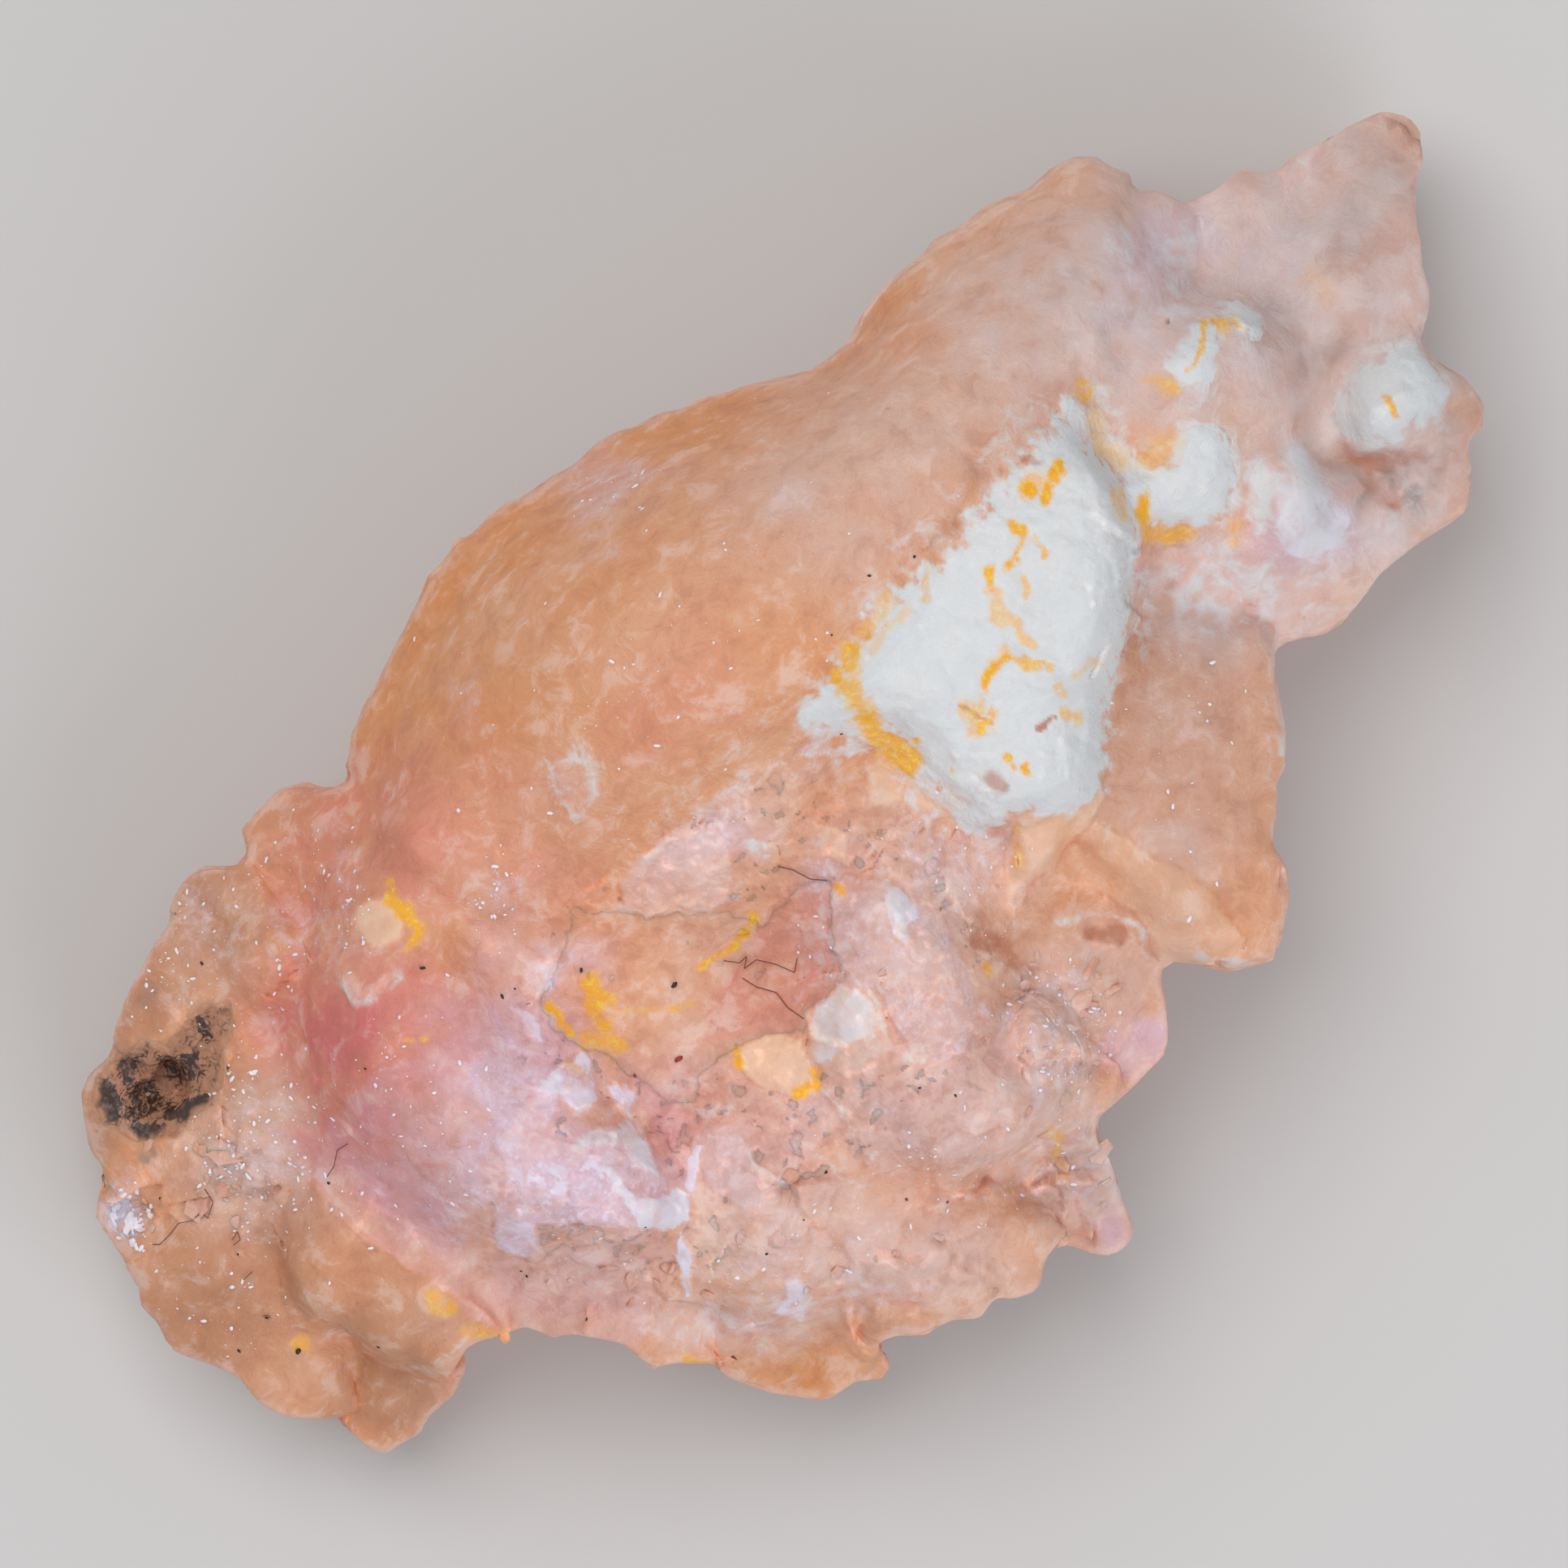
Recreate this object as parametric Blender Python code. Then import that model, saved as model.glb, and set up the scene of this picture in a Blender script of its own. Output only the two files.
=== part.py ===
"""A crystallised rose quartz cluster, grown together as one piece of stone that lies on a flat underside.

Every dome, lobe, crystal, ledge and crust knob is a lump: an outline drawn in plan, widest at its girdle,
narrower at its foot, and drawn in ring by ring towards a spine that carries its top. The lumps are then
joined in one solid, and the recess and the pits are cut out of it.

Plan points and heights are in millimetres. Plan points are measured right and down from the corner of the
drawing sheet; placed() turns them into the part's own frame: origin under the middle of the cluster, +X
along its length, +Z up from the flat underside.
"""

import math
import random

import bmesh
import bpy
from mathutils import Matrix, Vector

MM = 0.001

# Driving dimensions.
SHEET_CENTRE = (21.4, 20.3)     # the drawing point over the part's origin
LENGTH_TURN = -42.0             # degrees from the drawing's right-hand direction to the part's +X
DOME_TOP = 14.0                 # the highest point of the cluster
PINK_TOP = 11.4                 # the rose-coloured mound left of the recess
CRUST_TOP = 12.9                # the white crust along the broken ridge
FLAKE_TOP = 11.0                # the broken mass right of the recess
RECESS_FLOOR = 8.2
SHELF_TOP = 8.8                 # the tabular crystal and the blurred-edged mass beyond the crust
FRINGE_TOP = 6.4                # the low crystals around the edge
BED_TOP = 9.4                   # the mass that carries every lump
BED_GIRDLE = 2.8
BURIED_FROM = 3.0               # a foot above this height is buried in the bed
BURIED_INWARD = 0.04
FACET_JITTER = 0.12             # how far facet corners wander off their rings
OUTWARD_FALL = 0.3              # how much a lump's rings drop for each millimetre away from the middle
FLAT_ANGLE = 3.0                # neighbouring facets that turn less than this many degrees become one

# Ring profiles from the girdle to the top: (how far towards the spine, how much of the rise).
ROUNDED = [(0.07, 0.18), (0.2, 0.42), (0.4, 0.7), (0.62, 0.91), (0.83, 1.0)]
DOMED = [(0.04, 0.23), (0.12, 0.43), (0.24, 0.62), (0.4, 0.79), (0.58, 0.915), (0.76, 0.98), (0.9, 1.0)]
TABULAR = [(0.08, 0.34), (0.22, 0.76), (0.4, 0.93), (0.78, 1.0)]
BLOCKY = [(0.04, 0.46), (0.1, 0.84), (0.3, 0.95), (0.78, 1.0)]
POINTED = [(0.16, 0.36), (0.5, 0.78), (0.82, 1.0)]
KNOBBED = [(0.12, 0.4), (0.34, 0.8), (0.68, 1.0)]
SLOPING = [(0.1, 0.26), (0.28, 0.54), (0.5, 0.78), (0.76, 0.96), (0.9, 1.0)]

ROSE = (0.78, 0.47, 0.42, 1.0)
ROUGHNESS = 0.35

jitter = random.Random(7)


def placed(x, y, z):
    """A drawing point at height z, in the part's own frame and in metres."""
    flat = Vector((x - SHEET_CENTRE[0], SHEET_CENTRE[1] - y, z)) * MM
    return Matrix.Rotation(math.radians(LENGTH_TURN), 3, "Z") @ flat


def nearest_on_spine(point, spine):
    """The point of a spine, with its height, that is nearest in plan."""
    corners = [Vector(corner) for corner in spine]
    best = corners[0]
    for start, end in zip(corners, corners[1:]):
        along = (end - start).xy
        share = (Vector(point) - start.xy).dot(along) / along.length_squared
        candidate = start.lerp(end, min(1.0, max(0.0, share)))
        if (candidate.xy - Vector(point)).length < (best.xy - Vector(point)).length:
            best = candidate
    return best


def ring(bm, outline, spine, inward, height_of, reach=0.0, fall=0.0):
    """A ring of vertices: the outline drawn inwards to the spine by a share, at the height that each point gets.

    With a fall, the ring tips down away from the middle of the sheet, like a scale on a mound.
    """
    vertices = []
    middle = Vector(SHEET_CENTRE)
    for point in outline:
        target = nearest_on_spine(point, spine)
        wander = Vector((jitter.uniform(-1, 1), jitter.uniform(-1, 1))) * reach
        plan = Vector(point).lerp(target.xy, inward) + wander
        outward = (plan - middle).length - (target.xy - middle).length
        vertices.append(bm.verts.new(placed(plan.x, plan.y, height_of(target) - fall * outward)))
    return vertices


def lump(name, outline, spine, girdle, foot, profile, foot_inward=0.24, collection=None):
    """One lump as a closed object, from its foot up through its girdle to its spine.

    A foot that is buried in the bed is hardly drawn in, so that no hollow closes under it.
    """
    if foot > BURIED_FROM:
        foot_inward = BURIED_INWARD
    bm = bmesh.new()
    rings = [
        ring(bm, outline, spine, foot_inward, lambda target: foot),
        ring(bm, outline, spine, foot_inward * 0.3, lambda target: foot + (girdle - foot) * 0.45),
        ring(bm, outline, spine, 0.0, lambda target: girdle, fall=OUTWARD_FALL),
    ]
    for inward, rise in profile:
        reach = FACET_JITTER * min(1.0, inward * 4) * (1.0 - inward) ** 2
        rings.append(ring(
            bm, outline, spine, inward, lambda target: girdle + (target.z - girdle) * rise, reach,
            OUTWARD_FALL))
    for lower, upper in zip(rings, rings[1:]):
        for i in range(len(lower)):
            j = (i + 1) % len(lower)
            bm.faces.new((lower[i], lower[j], upper[j], upper[i]))
    bm.faces.new(reversed(rings[0]))
    if len(spine) == 1:
        peak = bm.verts.new(placed(*spine[0]))
        for i, corner in enumerate(rings[-1]):
            bm.faces.new((corner, rings[-1][(i + 1) % len(outline)], peak))
    else:
        bm.faces.new(rings[-1])
    bmesh.ops.triangulate(bm, faces=bm.faces)
    bmesh.ops.recalc_face_normals(bm, faces=bm.faces)
    mesh = bpy.data.meshes.new(name)
    bm.to_mesh(mesh)
    bm.free()
    body = bpy.data.objects.new(name, mesh)
    collection.objects.link(body)
    return body


def bed(collection):
    """The mass behind every lump. Its flat foot is the face that the cluster rests on."""
    outline = [
        (8.8, 19.6), (10.4, 16.0), (13.0, 13.2), (17.0, 11.0), (21.0, 9.6), (23.6, 6.9), (26.6, 5.2),
        (29.6, 5.9), (33.0, 5.4), (34.4, 7.4), (35.2, 10.2), (35.0, 12.6), (32.4, 14.8), (30.4, 15.8),
        (30.4, 20.8), (29.6, 23.0), (27.6, 25.4), (26.2, 28.6), (24.4, 30.8), (21.0, 32.4), (17.2, 32.6),
        (13.0, 31.9), (10.0, 34.0), (6.6, 33.4), (4.0, 31.4), (3.3, 28.6), (3.8, 25.2), (5.8, 21.8),
    ]
    spine = [
        (7.4, 29.0, BED_TOP - 3.0), (9.0, 25.4, BED_TOP - 0.6), (11.4, 20.0, BED_TOP),
        (17.4, 15.4, BED_TOP), (24.0, 13.4, BED_TOP), (29.6, 10.6, BED_TOP - 2.0),
        (32.4, 7.4, BED_TOP - 3.2),
    ]
    return lump("rose_quartz_cluster", outline, spine, BED_GIRDLE, 0.0, SLOPING, 0.16, collection)


def lower_bed(collection):
    """The mass right of the recess and below it, on the side away from the dome."""
    lump("lower_bed", [
        (15.0, 28.0), (18.0, 27.4), (20.4, 25.6), (20.6, 21.6), (22.6, 19.0), (26.0, 18.4), (29.4, 18.6),
        (30.0, 22.0), (27.8, 25.4), (26.8, 28.4), (24.8, 30.8), (21.4, 32.2), (17.6, 32.6), (14.4, 31.6),
    ], [(17.4, 30.0, BED_TOP - 1.0), (21.6, 27.8, BED_TOP), (23.4, 24.0, BED_TOP), (25.4, 20.6, BED_TOP - 1.0)],
        3.2, 0.7, SLOPING, collection=collection)


def dome(collection):
    """The big smooth dome along the upper left."""
    outline = [
        (8.6, 19.1), (8.6, 18.5), (9.0, 17.4), (9.8, 15.8), (10.5, 14.5), (11.1, 13.5), (12.0, 12.7),
        (13.6, 11.7), (15.2, 10.6), (17.0, 9.9), (18.5, 9.4), (20.1, 9.0), (20.9, 8.4), (21.4, 7.5),
        (22.6, 6.3), (24.0, 5.3), (25.4, 4.5), (26.7, 3.9), (27.4, 4.0), (27.9, 4.3), (27.9, 4.8),
        (29.4, 6.6), (29.4, 9.0), (28.4, 11.2), (27.0, 13.2), (25.8, 15.2), (24.2, 17.2), (22.4, 18.6),
        (20.6, 19.6), (19.2, 20.6), (17.6, 21.6), (16.0, 22.2), (14.4, 22.6), (12.6, 22.8), (10.8, 22.6),
        (9.4, 21.6), (8.6, 20.2),
    ]
    spine = [
        (12.2, 19.2, DOME_TOP - 2.4), (15.0, 16.6, DOME_TOP - 0.3), (18.4, 14.2, DOME_TOP),
        (22.4, 11.4, DOME_TOP - 0.8), (25.6, 8.4, DOME_TOP - 2.8), (26.8, 6.4, DOME_TOP - 4.4),
    ]
    lump("dome", outline, spine, 4.8, 2.2, DOMED, collection=collection)


def left_lobes(collection):
    """The lobes and clear crystals down the left edge, from the notch below the dome."""
    lump("shoulder_lobe", [
        (8.7, 19.2), (8.2, 19.3), (7.9, 19.4), (7.6, 19.2), (6.9, 19.4), (6.4, 19.9), (6.0, 20.4),
        (6.1, 21.1), (6.8, 23.0), (9.0, 24.2), (10.8, 22.8), (11.0, 20.8), (9.8, 19.4),
    ], [(8.4, 21.2, FRINGE_TOP + 1.8)], 4.8, 2.2, ROUNDED, collection=collection)
    lump("upper_left_lobe", [
        (6.1, 21.1), (5.0, 21.3), (4.5, 21.6), (4.2, 22.2), (4.1, 22.9), (3.9, 23.1),
        (4.2, 24.8), (6.4, 26.4), (9.0, 25.6), (9.4, 23.0), (7.6, 21.2),
    ], [(6.9, 23.7, FRINGE_TOP + 1.8)], 4.4, 1.9, ROUNDED, collection=collection)
    lump("left_lobe", [
        (4.1, 22.8), (3.6, 23.6), (3.2, 24.5), (2.9, 25.2), (2.8, 25.9), (4.2, 27.2), (6.8, 27.2),
        (8.2, 25.4), (7.0, 23.2), (5.2, 22.6),
    ], [(5.2, 24.7, FRINGE_TOP + 0.6)], 3.9, 1.6, TABULAR, collection=collection)
    lump("clear_crystal", [
        (2.8, 25.8), (2.2, 26.3), (2.1, 26.9), (2.1, 27.9), (2.3, 28.5), (2.6, 29.0), (3.6, 29.2),
        (6.4, 29.0), (8.2, 28.0), (8.0, 26.0), (6.0, 24.9), (3.9, 25.3),
    ], [(3.9, 27.0, FRINGE_TOP - 0.6), (6.0, 27.0, FRINGE_TOP + 0.8)], 3.6, 1.1, BLOCKY, collection=collection)
    lump("sparkling_crystal", [
        (2.6, 29.0), (2.3, 29.3), (2.3, 29.8), (2.4, 30.2), (2.8, 30.8), (3.1, 31.2), (5.0, 31.6),
        (7.4, 31.0), (7.4, 29.0), (5.0, 28.2), (3.4, 28.5),
    ], [(4.6, 29.7, FRINGE_TOP - 0.8)], 2.9, 0.9, POINTED, collection=collection)


def lower_left_lobes(collection):
    """The low lobes and the pointed crystal at the lower left corner."""
    lump("brown_lobe", [
        (3.0, 31.1), (3.4, 31.8), (3.3, 32.3), (3.8, 32.6), (4.0, 33.1), (4.4, 33.4), (5.2, 33.7),
        (5.8, 34.0), (6.3, 34.6), (7.0, 35.0), (7.9, 35.1), (8.3, 35.0), (9.0, 33.8), (8.8, 31.6),
        (7.6, 29.8), (6.0, 29.0), (4.4, 29.4), (3.4, 30.2),
    ], [(5.2, 31.0, FRINGE_TOP - 0.8), (6.8, 33.0, FRINGE_TOP - 2.0)], 2.5, 0.8, ROUNDED, collection=collection)
    lump("pointed_crystal", [
        (8.0, 33.0), (8.2, 34.8), (8.7, 35.6), (9.0, 36.0), (9.5, 36.0), (10.4, 35.4), (11.2, 34.5),
        (11.4, 33.9), (11.6, 33.0), (11.4, 31.8), (9.8, 31.4), (8.4, 31.8),
    ], [(9.7, 32.8, FRINGE_TOP - 1.9), (9.4, 34.2, FRINGE_TOP - 2.9)], 2.3, 0.8, POINTED, collection=collection)
    lump("tan_lobe", [
        (7.9, 28.9), (7.0, 30.6), (6.9, 31.3), (7.1, 32.1), (7.7, 32.8), (8.6, 32.8), (9.6, 32.2),
        (10.4, 31.0), (9.6, 29.6),
    ], [(8.4, 30.8, FRINGE_TOP + 0.6)], 4.6, 2.6, TABULAR, collection=collection)
    lump("scalloped_lobe", [
        (8.4, 32.6), (8.8, 33.3), (9.6, 33.8), (10.4, 33.6), (11.2, 33.2), (11.9, 32.6), (12.3, 31.8),
        (11.4, 30.6), (9.8, 29.8), (8.6, 30.6),
    ], [(10.0, 31.4, FRINGE_TOP + 0.9)], 4.9, 2.8, TABULAR, collection=collection)
    lump("notch_lobe", [
        (11.2, 32.7), (11.7, 33.1), (12.2, 33.1), (13.0, 32.7), (13.6, 32.0), (12.4, 31.2), (11.2, 31.8),
    ], [(12.2, 32.2, FRINGE_TOP - 1.4)], 3.6, 1.9, ROUNDED, collection=collection)


def pink_mound(collection):
    """The rose-coloured mound left of the recess, with its frosted ridge and the flakes on it."""
    lump("pink_mound", [
        (7.6, 20.6), (10.4, 19.8), (13.0, 20.6), (13.6, 22.8), (13.9, 25.0), (14.8, 26.0), (15.2, 27.6),
        (15.8, 29.0), (16.8, 30.4), (16.0, 31.6), (14.0, 32.0), (12.0, 31.9), (10.4, 31.2), (8.8, 30.0),
        (7.7, 28.9), (6.6, 27.4), (6.2, 25.4), (6.6, 23.4), (7.2, 22.2),
    ], [(9.4, 22.6, PINK_TOP - 1.2), (10.2, 26.2, PINK_TOP), (12.4, 28.4, PINK_TOP - 0.5)],
        4.8, 3.2, ROUNDED, collection=collection)
    lump("saddle", [
        (8.6, 19.8), (11.4, 17.6), (15.2, 19.4), (16.4, 21.6), (14.8, 23.4), (11.8, 24.4), (9.0, 23.2),
    ], [(10.6, 20.6, PINK_TOP), (13.4, 21.4, PINK_TOP - 0.6)], 6.4, 4.0, ROUNDED, collection=collection)
    lump("frosted_ridge", [
        (12.2, 28.8), (13.0, 27.4), (14.4, 27.2), (15.6, 27.6), (16.2, 28.6), (16.9, 29.2), (16.9, 30.2),
        (16.0, 30.7), (14.8, 30.3), (13.6, 30.7), (12.4, 30.6),
    ], [(13.7, 28.6, PINK_TOP), (15.9, 29.6, PINK_TOP - 0.8)], PINK_TOP - 2.2, 5.6, TABULAR, collection=collection)
    lump("recess_flake", [
        (13.1, 26.6), (13.7, 26.1), (14.5, 25.8), (14.8, 26.9), (14.6, 27.3), (13.7, 27.0),
    ], [(14.0, 26.6, PINK_TOP - 0.6)], PINK_TOP - 1.6, 8.0, TABULAR, collection=collection)
    lump("cream_knob", [
        (9.1, 22.4), (9.6, 21.9), (10.2, 22.0), (10.6, 22.7), (10.6, 23.4), (9.9, 23.9), (9.3, 23.5),
    ], [(9.8, 22.8, PINK_TOP - 0.5)], PINK_TOP - 1.6, 7.0, KNOBBED, collection=collection)
    lump("cream_lip", [
        (8.6, 23.5), (9.2, 23.2), (9.9, 23.7), (9.9, 24.1), (9.1, 24.6), (8.7, 24.3),
    ], [(9.2, 23.9, PINK_TOP - 0.6)], PINK_TOP - 1.5, 8.0, TABULAR, collection=collection)


def recess(collection):
    """The ledge and the knobs around the open recess in the middle."""
    lump("pale_ledge", [
        (19.6, 17.8), (20.6, 18.6), (20.4, 20.0), (19.2, 21.2), (18.0, 22.1), (17.4, 22.4), (16.6, 22.3),
        (16.0, 22.7), (15.4, 22.4), (14.8, 21.2), (16.2, 19.6), (18.0, 18.4),
    ], [(17.0, 21.0, RECESS_FLOOR + 2.6), (18.8, 19.2, RECESS_FLOOR + 3.2)],
        RECESS_FLOOR + 1.6, 6.6, TABULAR, collection=collection)
    lump("white_knob", [
        (20.2, 24.5), (20.8, 24.1), (21.5, 24.4), (21.9, 25.1), (21.9, 25.8), (21.4, 26.4), (20.7, 26.4),
        (20.1, 26.0), (19.8, 25.3), (19.8, 24.8),
    ], [(20.9, 25.2, FLAKE_TOP + 0.3)], FLAKE_TOP - 1.2, 7.0, KNOBBED, collection=collection)
    lump("cream_patch", [
        (18.1, 25.9), (18.6, 25.5), (19.2, 25.3), (19.9, 25.6), (20.2, 26.4), (20.0, 26.9), (19.2, 26.8),
        (18.5, 26.6),
    ], [(19.2, 26.1, RECESS_FLOOR + 1.5)], RECESS_FLOOR + 0.5, 6.2, KNOBBED, collection=collection)


def flake_mass(collection):
    """The broken mass right of the recess: rubble, a raised pale flake and a smooth shell-like break."""
    lump("rubble", [
        (20.6, 18.8), (22.2, 18.6), (23.8, 20.2), (24.8, 20.6), (24.8, 22.2), (24.2, 23.4), (25.0, 24.6),
        (26.0, 25.8), (27.0, 26.8), (26.4, 27.8), (24.6, 28.6), (22.6, 29.0), (21.0, 29.4), (19.2, 28.8),
        (18.0, 28.0), (18.8, 27.0), (20.4, 26.4), (20.8, 25.0), (20.6, 23.4), (20.5, 21.6), (20.2, 20.2),
    ], [(22.2, 21.2, FLAKE_TOP - 0.9), (22.6, 24.0, FLAKE_TOP - 0.5), (22.8, 27.0, FLAKE_TOP - 1.0)],
        7.2, 3.4, ROUNDED, collection=collection)
    lump("pale_flake", [
        (20.7, 21.5), (21.8, 21.7), (22.6, 22.0), (23.8, 23.6), (24.0, 25.0), (23.6, 25.8), (22.4, 25.8),
        (21.8, 25.0), (20.9, 24.2), (20.6, 23.6), (20.4, 22.6),
    ], [(21.8, 22.8, FLAKE_TOP + 0.4), (22.8, 24.6, FLAKE_TOP)], FLAKE_TOP - 0.9, 6.8, TABULAR,
        collection=collection)
    lump("flake_tooth", [
        (21.8, 21.8), (22.2, 21.6), (22.6, 22.2), (22.4, 22.9), (22.0, 23.0),
    ], [(22.2, 22.3, FLAKE_TOP + 0.9)], FLAKE_TOP - 0.2, 8.0, KNOBBED, collection=collection)
    lump("shell_break", [
        (21.2, 26.2), (23.0, 25.8), (25.0, 26.0), (26.2, 27.0), (25.6, 28.0), (24.0, 28.8), (22.2, 29.1),
        (21.2, 28.4), (20.4, 27.2),
    ], [(22.6, 27.2, FLAKE_TOP - 0.1), (24.0, 27.2, FLAKE_TOP - 0.5)], FLAKE_TOP - 2.2, 6.0, ROUNDED,
        collection=collection)
    lump("granular_slope", [
        (24.6, 23.8), (26.0, 24.2), (27.0, 25.2), (27.2, 26.8), (26.4, 27.8), (25.0, 27.6), (24.2, 26.0),
    ], [(25.4, 25.8, FLAKE_TOP - 1.6)], FLAKE_TOP - 4.4, 4.0, ROUNDED, collection=collection)


def bottom_edge(collection):
    """The ledges, lobes and small crystals along the bottom edge."""
    lump("peach_ledge", [
        (12.0, 31.8), (13.0, 32.7), (13.6, 33.0), (14.2, 32.9), (15.0, 33.1), (15.5, 33.3), (15.9, 33.7),
        (16.2, 33.8), (17.4, 33.6), (17.9, 32.8), (18.0, 31.4), (16.8, 30.0), (14.8, 29.6),
        (12.8, 30.0),
    ], [(14.2, 31.0, FRINGE_TOP + 1.5), (16.0, 31.8, FRINGE_TOP + 0.9)], 4.0, 1.8, ROUNDED,
        collection=collection)
    lump("tan_foot", [
        (17.0, 33.6), (18.0, 34.0), (19.0, 34.4), (19.7, 34.5), (20.4, 34.6), (20.8, 34.4), (21.1, 34.1),
        (21.8, 34.1), (22.0, 33.8), (22.0, 33.3), (21.8, 33.1), (21.9, 32.4), (21.2, 31.2), (19.2, 30.8),
        (17.6, 31.2), (16.8, 32.4),
    ], [(18.6, 32.2, FRINGE_TOP - 0.6), (20.2, 32.4, FRINGE_TOP - 1.2)], 2.9, 1.0, ROUNDED,
        collection=collection)
    lump("lower_mass", [
        (17.2, 27.8), (18.8, 27.0), (20.8, 27.4), (21.8, 28.8), (22.2, 30.0), (21.2, 31.2), (20.0, 32.6),
        (18.0, 32.9), (16.6, 32.0), (16.0, 30.4), (16.6, 29.0),
    ], [(18.6, 29.0, FLAKE_TOP - 0.9), (19.2, 30.8, FLAKE_TOP - 2.2)], 6.0, 2.6, ROUNDED,
        collection=collection)
    lump("striped_lobes", [
        (20.0, 30.0), (20.2, 31.6), (21.0, 32.6), (21.9, 32.9), (22.9, 32.9), (23.1, 32.6), (23.5, 32.5),
        (24.3, 32.3), (24.5, 32.1), (25.0, 32.1), (25.5, 31.9), (25.8, 31.4), (25.8, 30.8), (26.0, 29.6),
        (24.8, 28.2), (22.4, 28.0), (20.8, 28.6),
    ], [(22.0, 30.0, FRINGE_TOP + 2.0), (24.2, 30.2, FRINGE_TOP + 1.0)], 3.5, 1.5, ROUNDED,
        collection=collection)
    lump("crescent_lobe", [
        (20.3, 30.6), (21.0, 30.0), (22.2, 29.7), (23.4, 30.1), (24.1, 30.9), (24.0, 31.8), (23.0, 32.2),
        (21.6, 32.2), (20.6, 31.6),
    ], [(22.1, 30.9, FRINGE_TOP + 2.3)], FRINGE_TOP + 0.6, 3.8, ROUNDED, collection=collection)
    lump("corner_crystal", [
        (27.0, 27.6), (27.1, 27.9), (27.3, 28.1), (27.5, 28.8), (27.7, 29.6), (27.9, 30.1), (27.9, 30.5),
        (27.5, 30.9), (27.1, 31.0), (26.8, 30.9), (26.3, 30.7), (25.9, 30.9), (25.2, 30.0), (25.2, 28.6),
        (25.8, 27.4),
    ], [(26.2, 28.6, FRINGE_TOP + 0.4), (26.9, 30.0, FRINGE_TOP - 1.2)], 3.4, 1.4, POINTED,
        collection=collection)


def right_edge(collection):
    """The two blocky crystals down the right edge."""
    lump("blunt_crystal", [
        (28.7, 23.7), (28.6, 24.2), (28.8, 25.0), (28.8, 25.6), (28.6, 26.1), (28.0, 26.7), (27.0, 27.6),
        (25.8, 28.0), (24.6, 27.4), (24.0, 25.8), (24.0, 23.4), (24.8, 22.0), (26.2, 21.4), (27.8, 22.2),
    ], [(26.4, 23.4, SHELF_TOP - 0.8), (27.0, 25.2, SHELF_TOP - 2.0)], 4.0, 2.0, BLOCKY,
        collection=collection)
    lump("tabular_crystal", [
        (31.4, 16.0), (31.4, 16.8), (31.5, 17.7), (31.7, 18.5), (31.7, 18.9), (31.5, 19.3), (31.5, 20.1),
        (31.3, 20.7), (31.6, 21.2), (31.8, 21.6), (31.8, 22.1), (31.7, 22.8), (31.5, 23.3), (31.4, 23.7),
        (30.5, 23.9), (30.2, 24.0), (29.6, 23.8), (28.7, 23.7), (27.4, 22.2), (26.2, 20.6), (26.0, 18.0),
        (26.8, 15.6), (28.4, 14.8), (30.4, 15.0),
    ], [(28.4, 17.4, SHELF_TOP), (29.2, 19.6, SHELF_TOP - 0.3)], 4.2, 2.0, BLOCKY, collection=collection)
    lump("amber_wedge", [
        (26.0, 21.0), (26.8, 20.2), (28.4, 21.0), (30.6, 23.0), (30.8, 23.7), (30.2, 23.9), (28.8, 23.6),
        (27.2, 22.4),
    ], [(27.4, 21.2, SHELF_TOP - 0.7), (29.4, 22.8, SHELF_TOP - 2.6)], SHELF_TOP - 4.0, 3.0, TABULAR,
        collection=collection)


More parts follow.
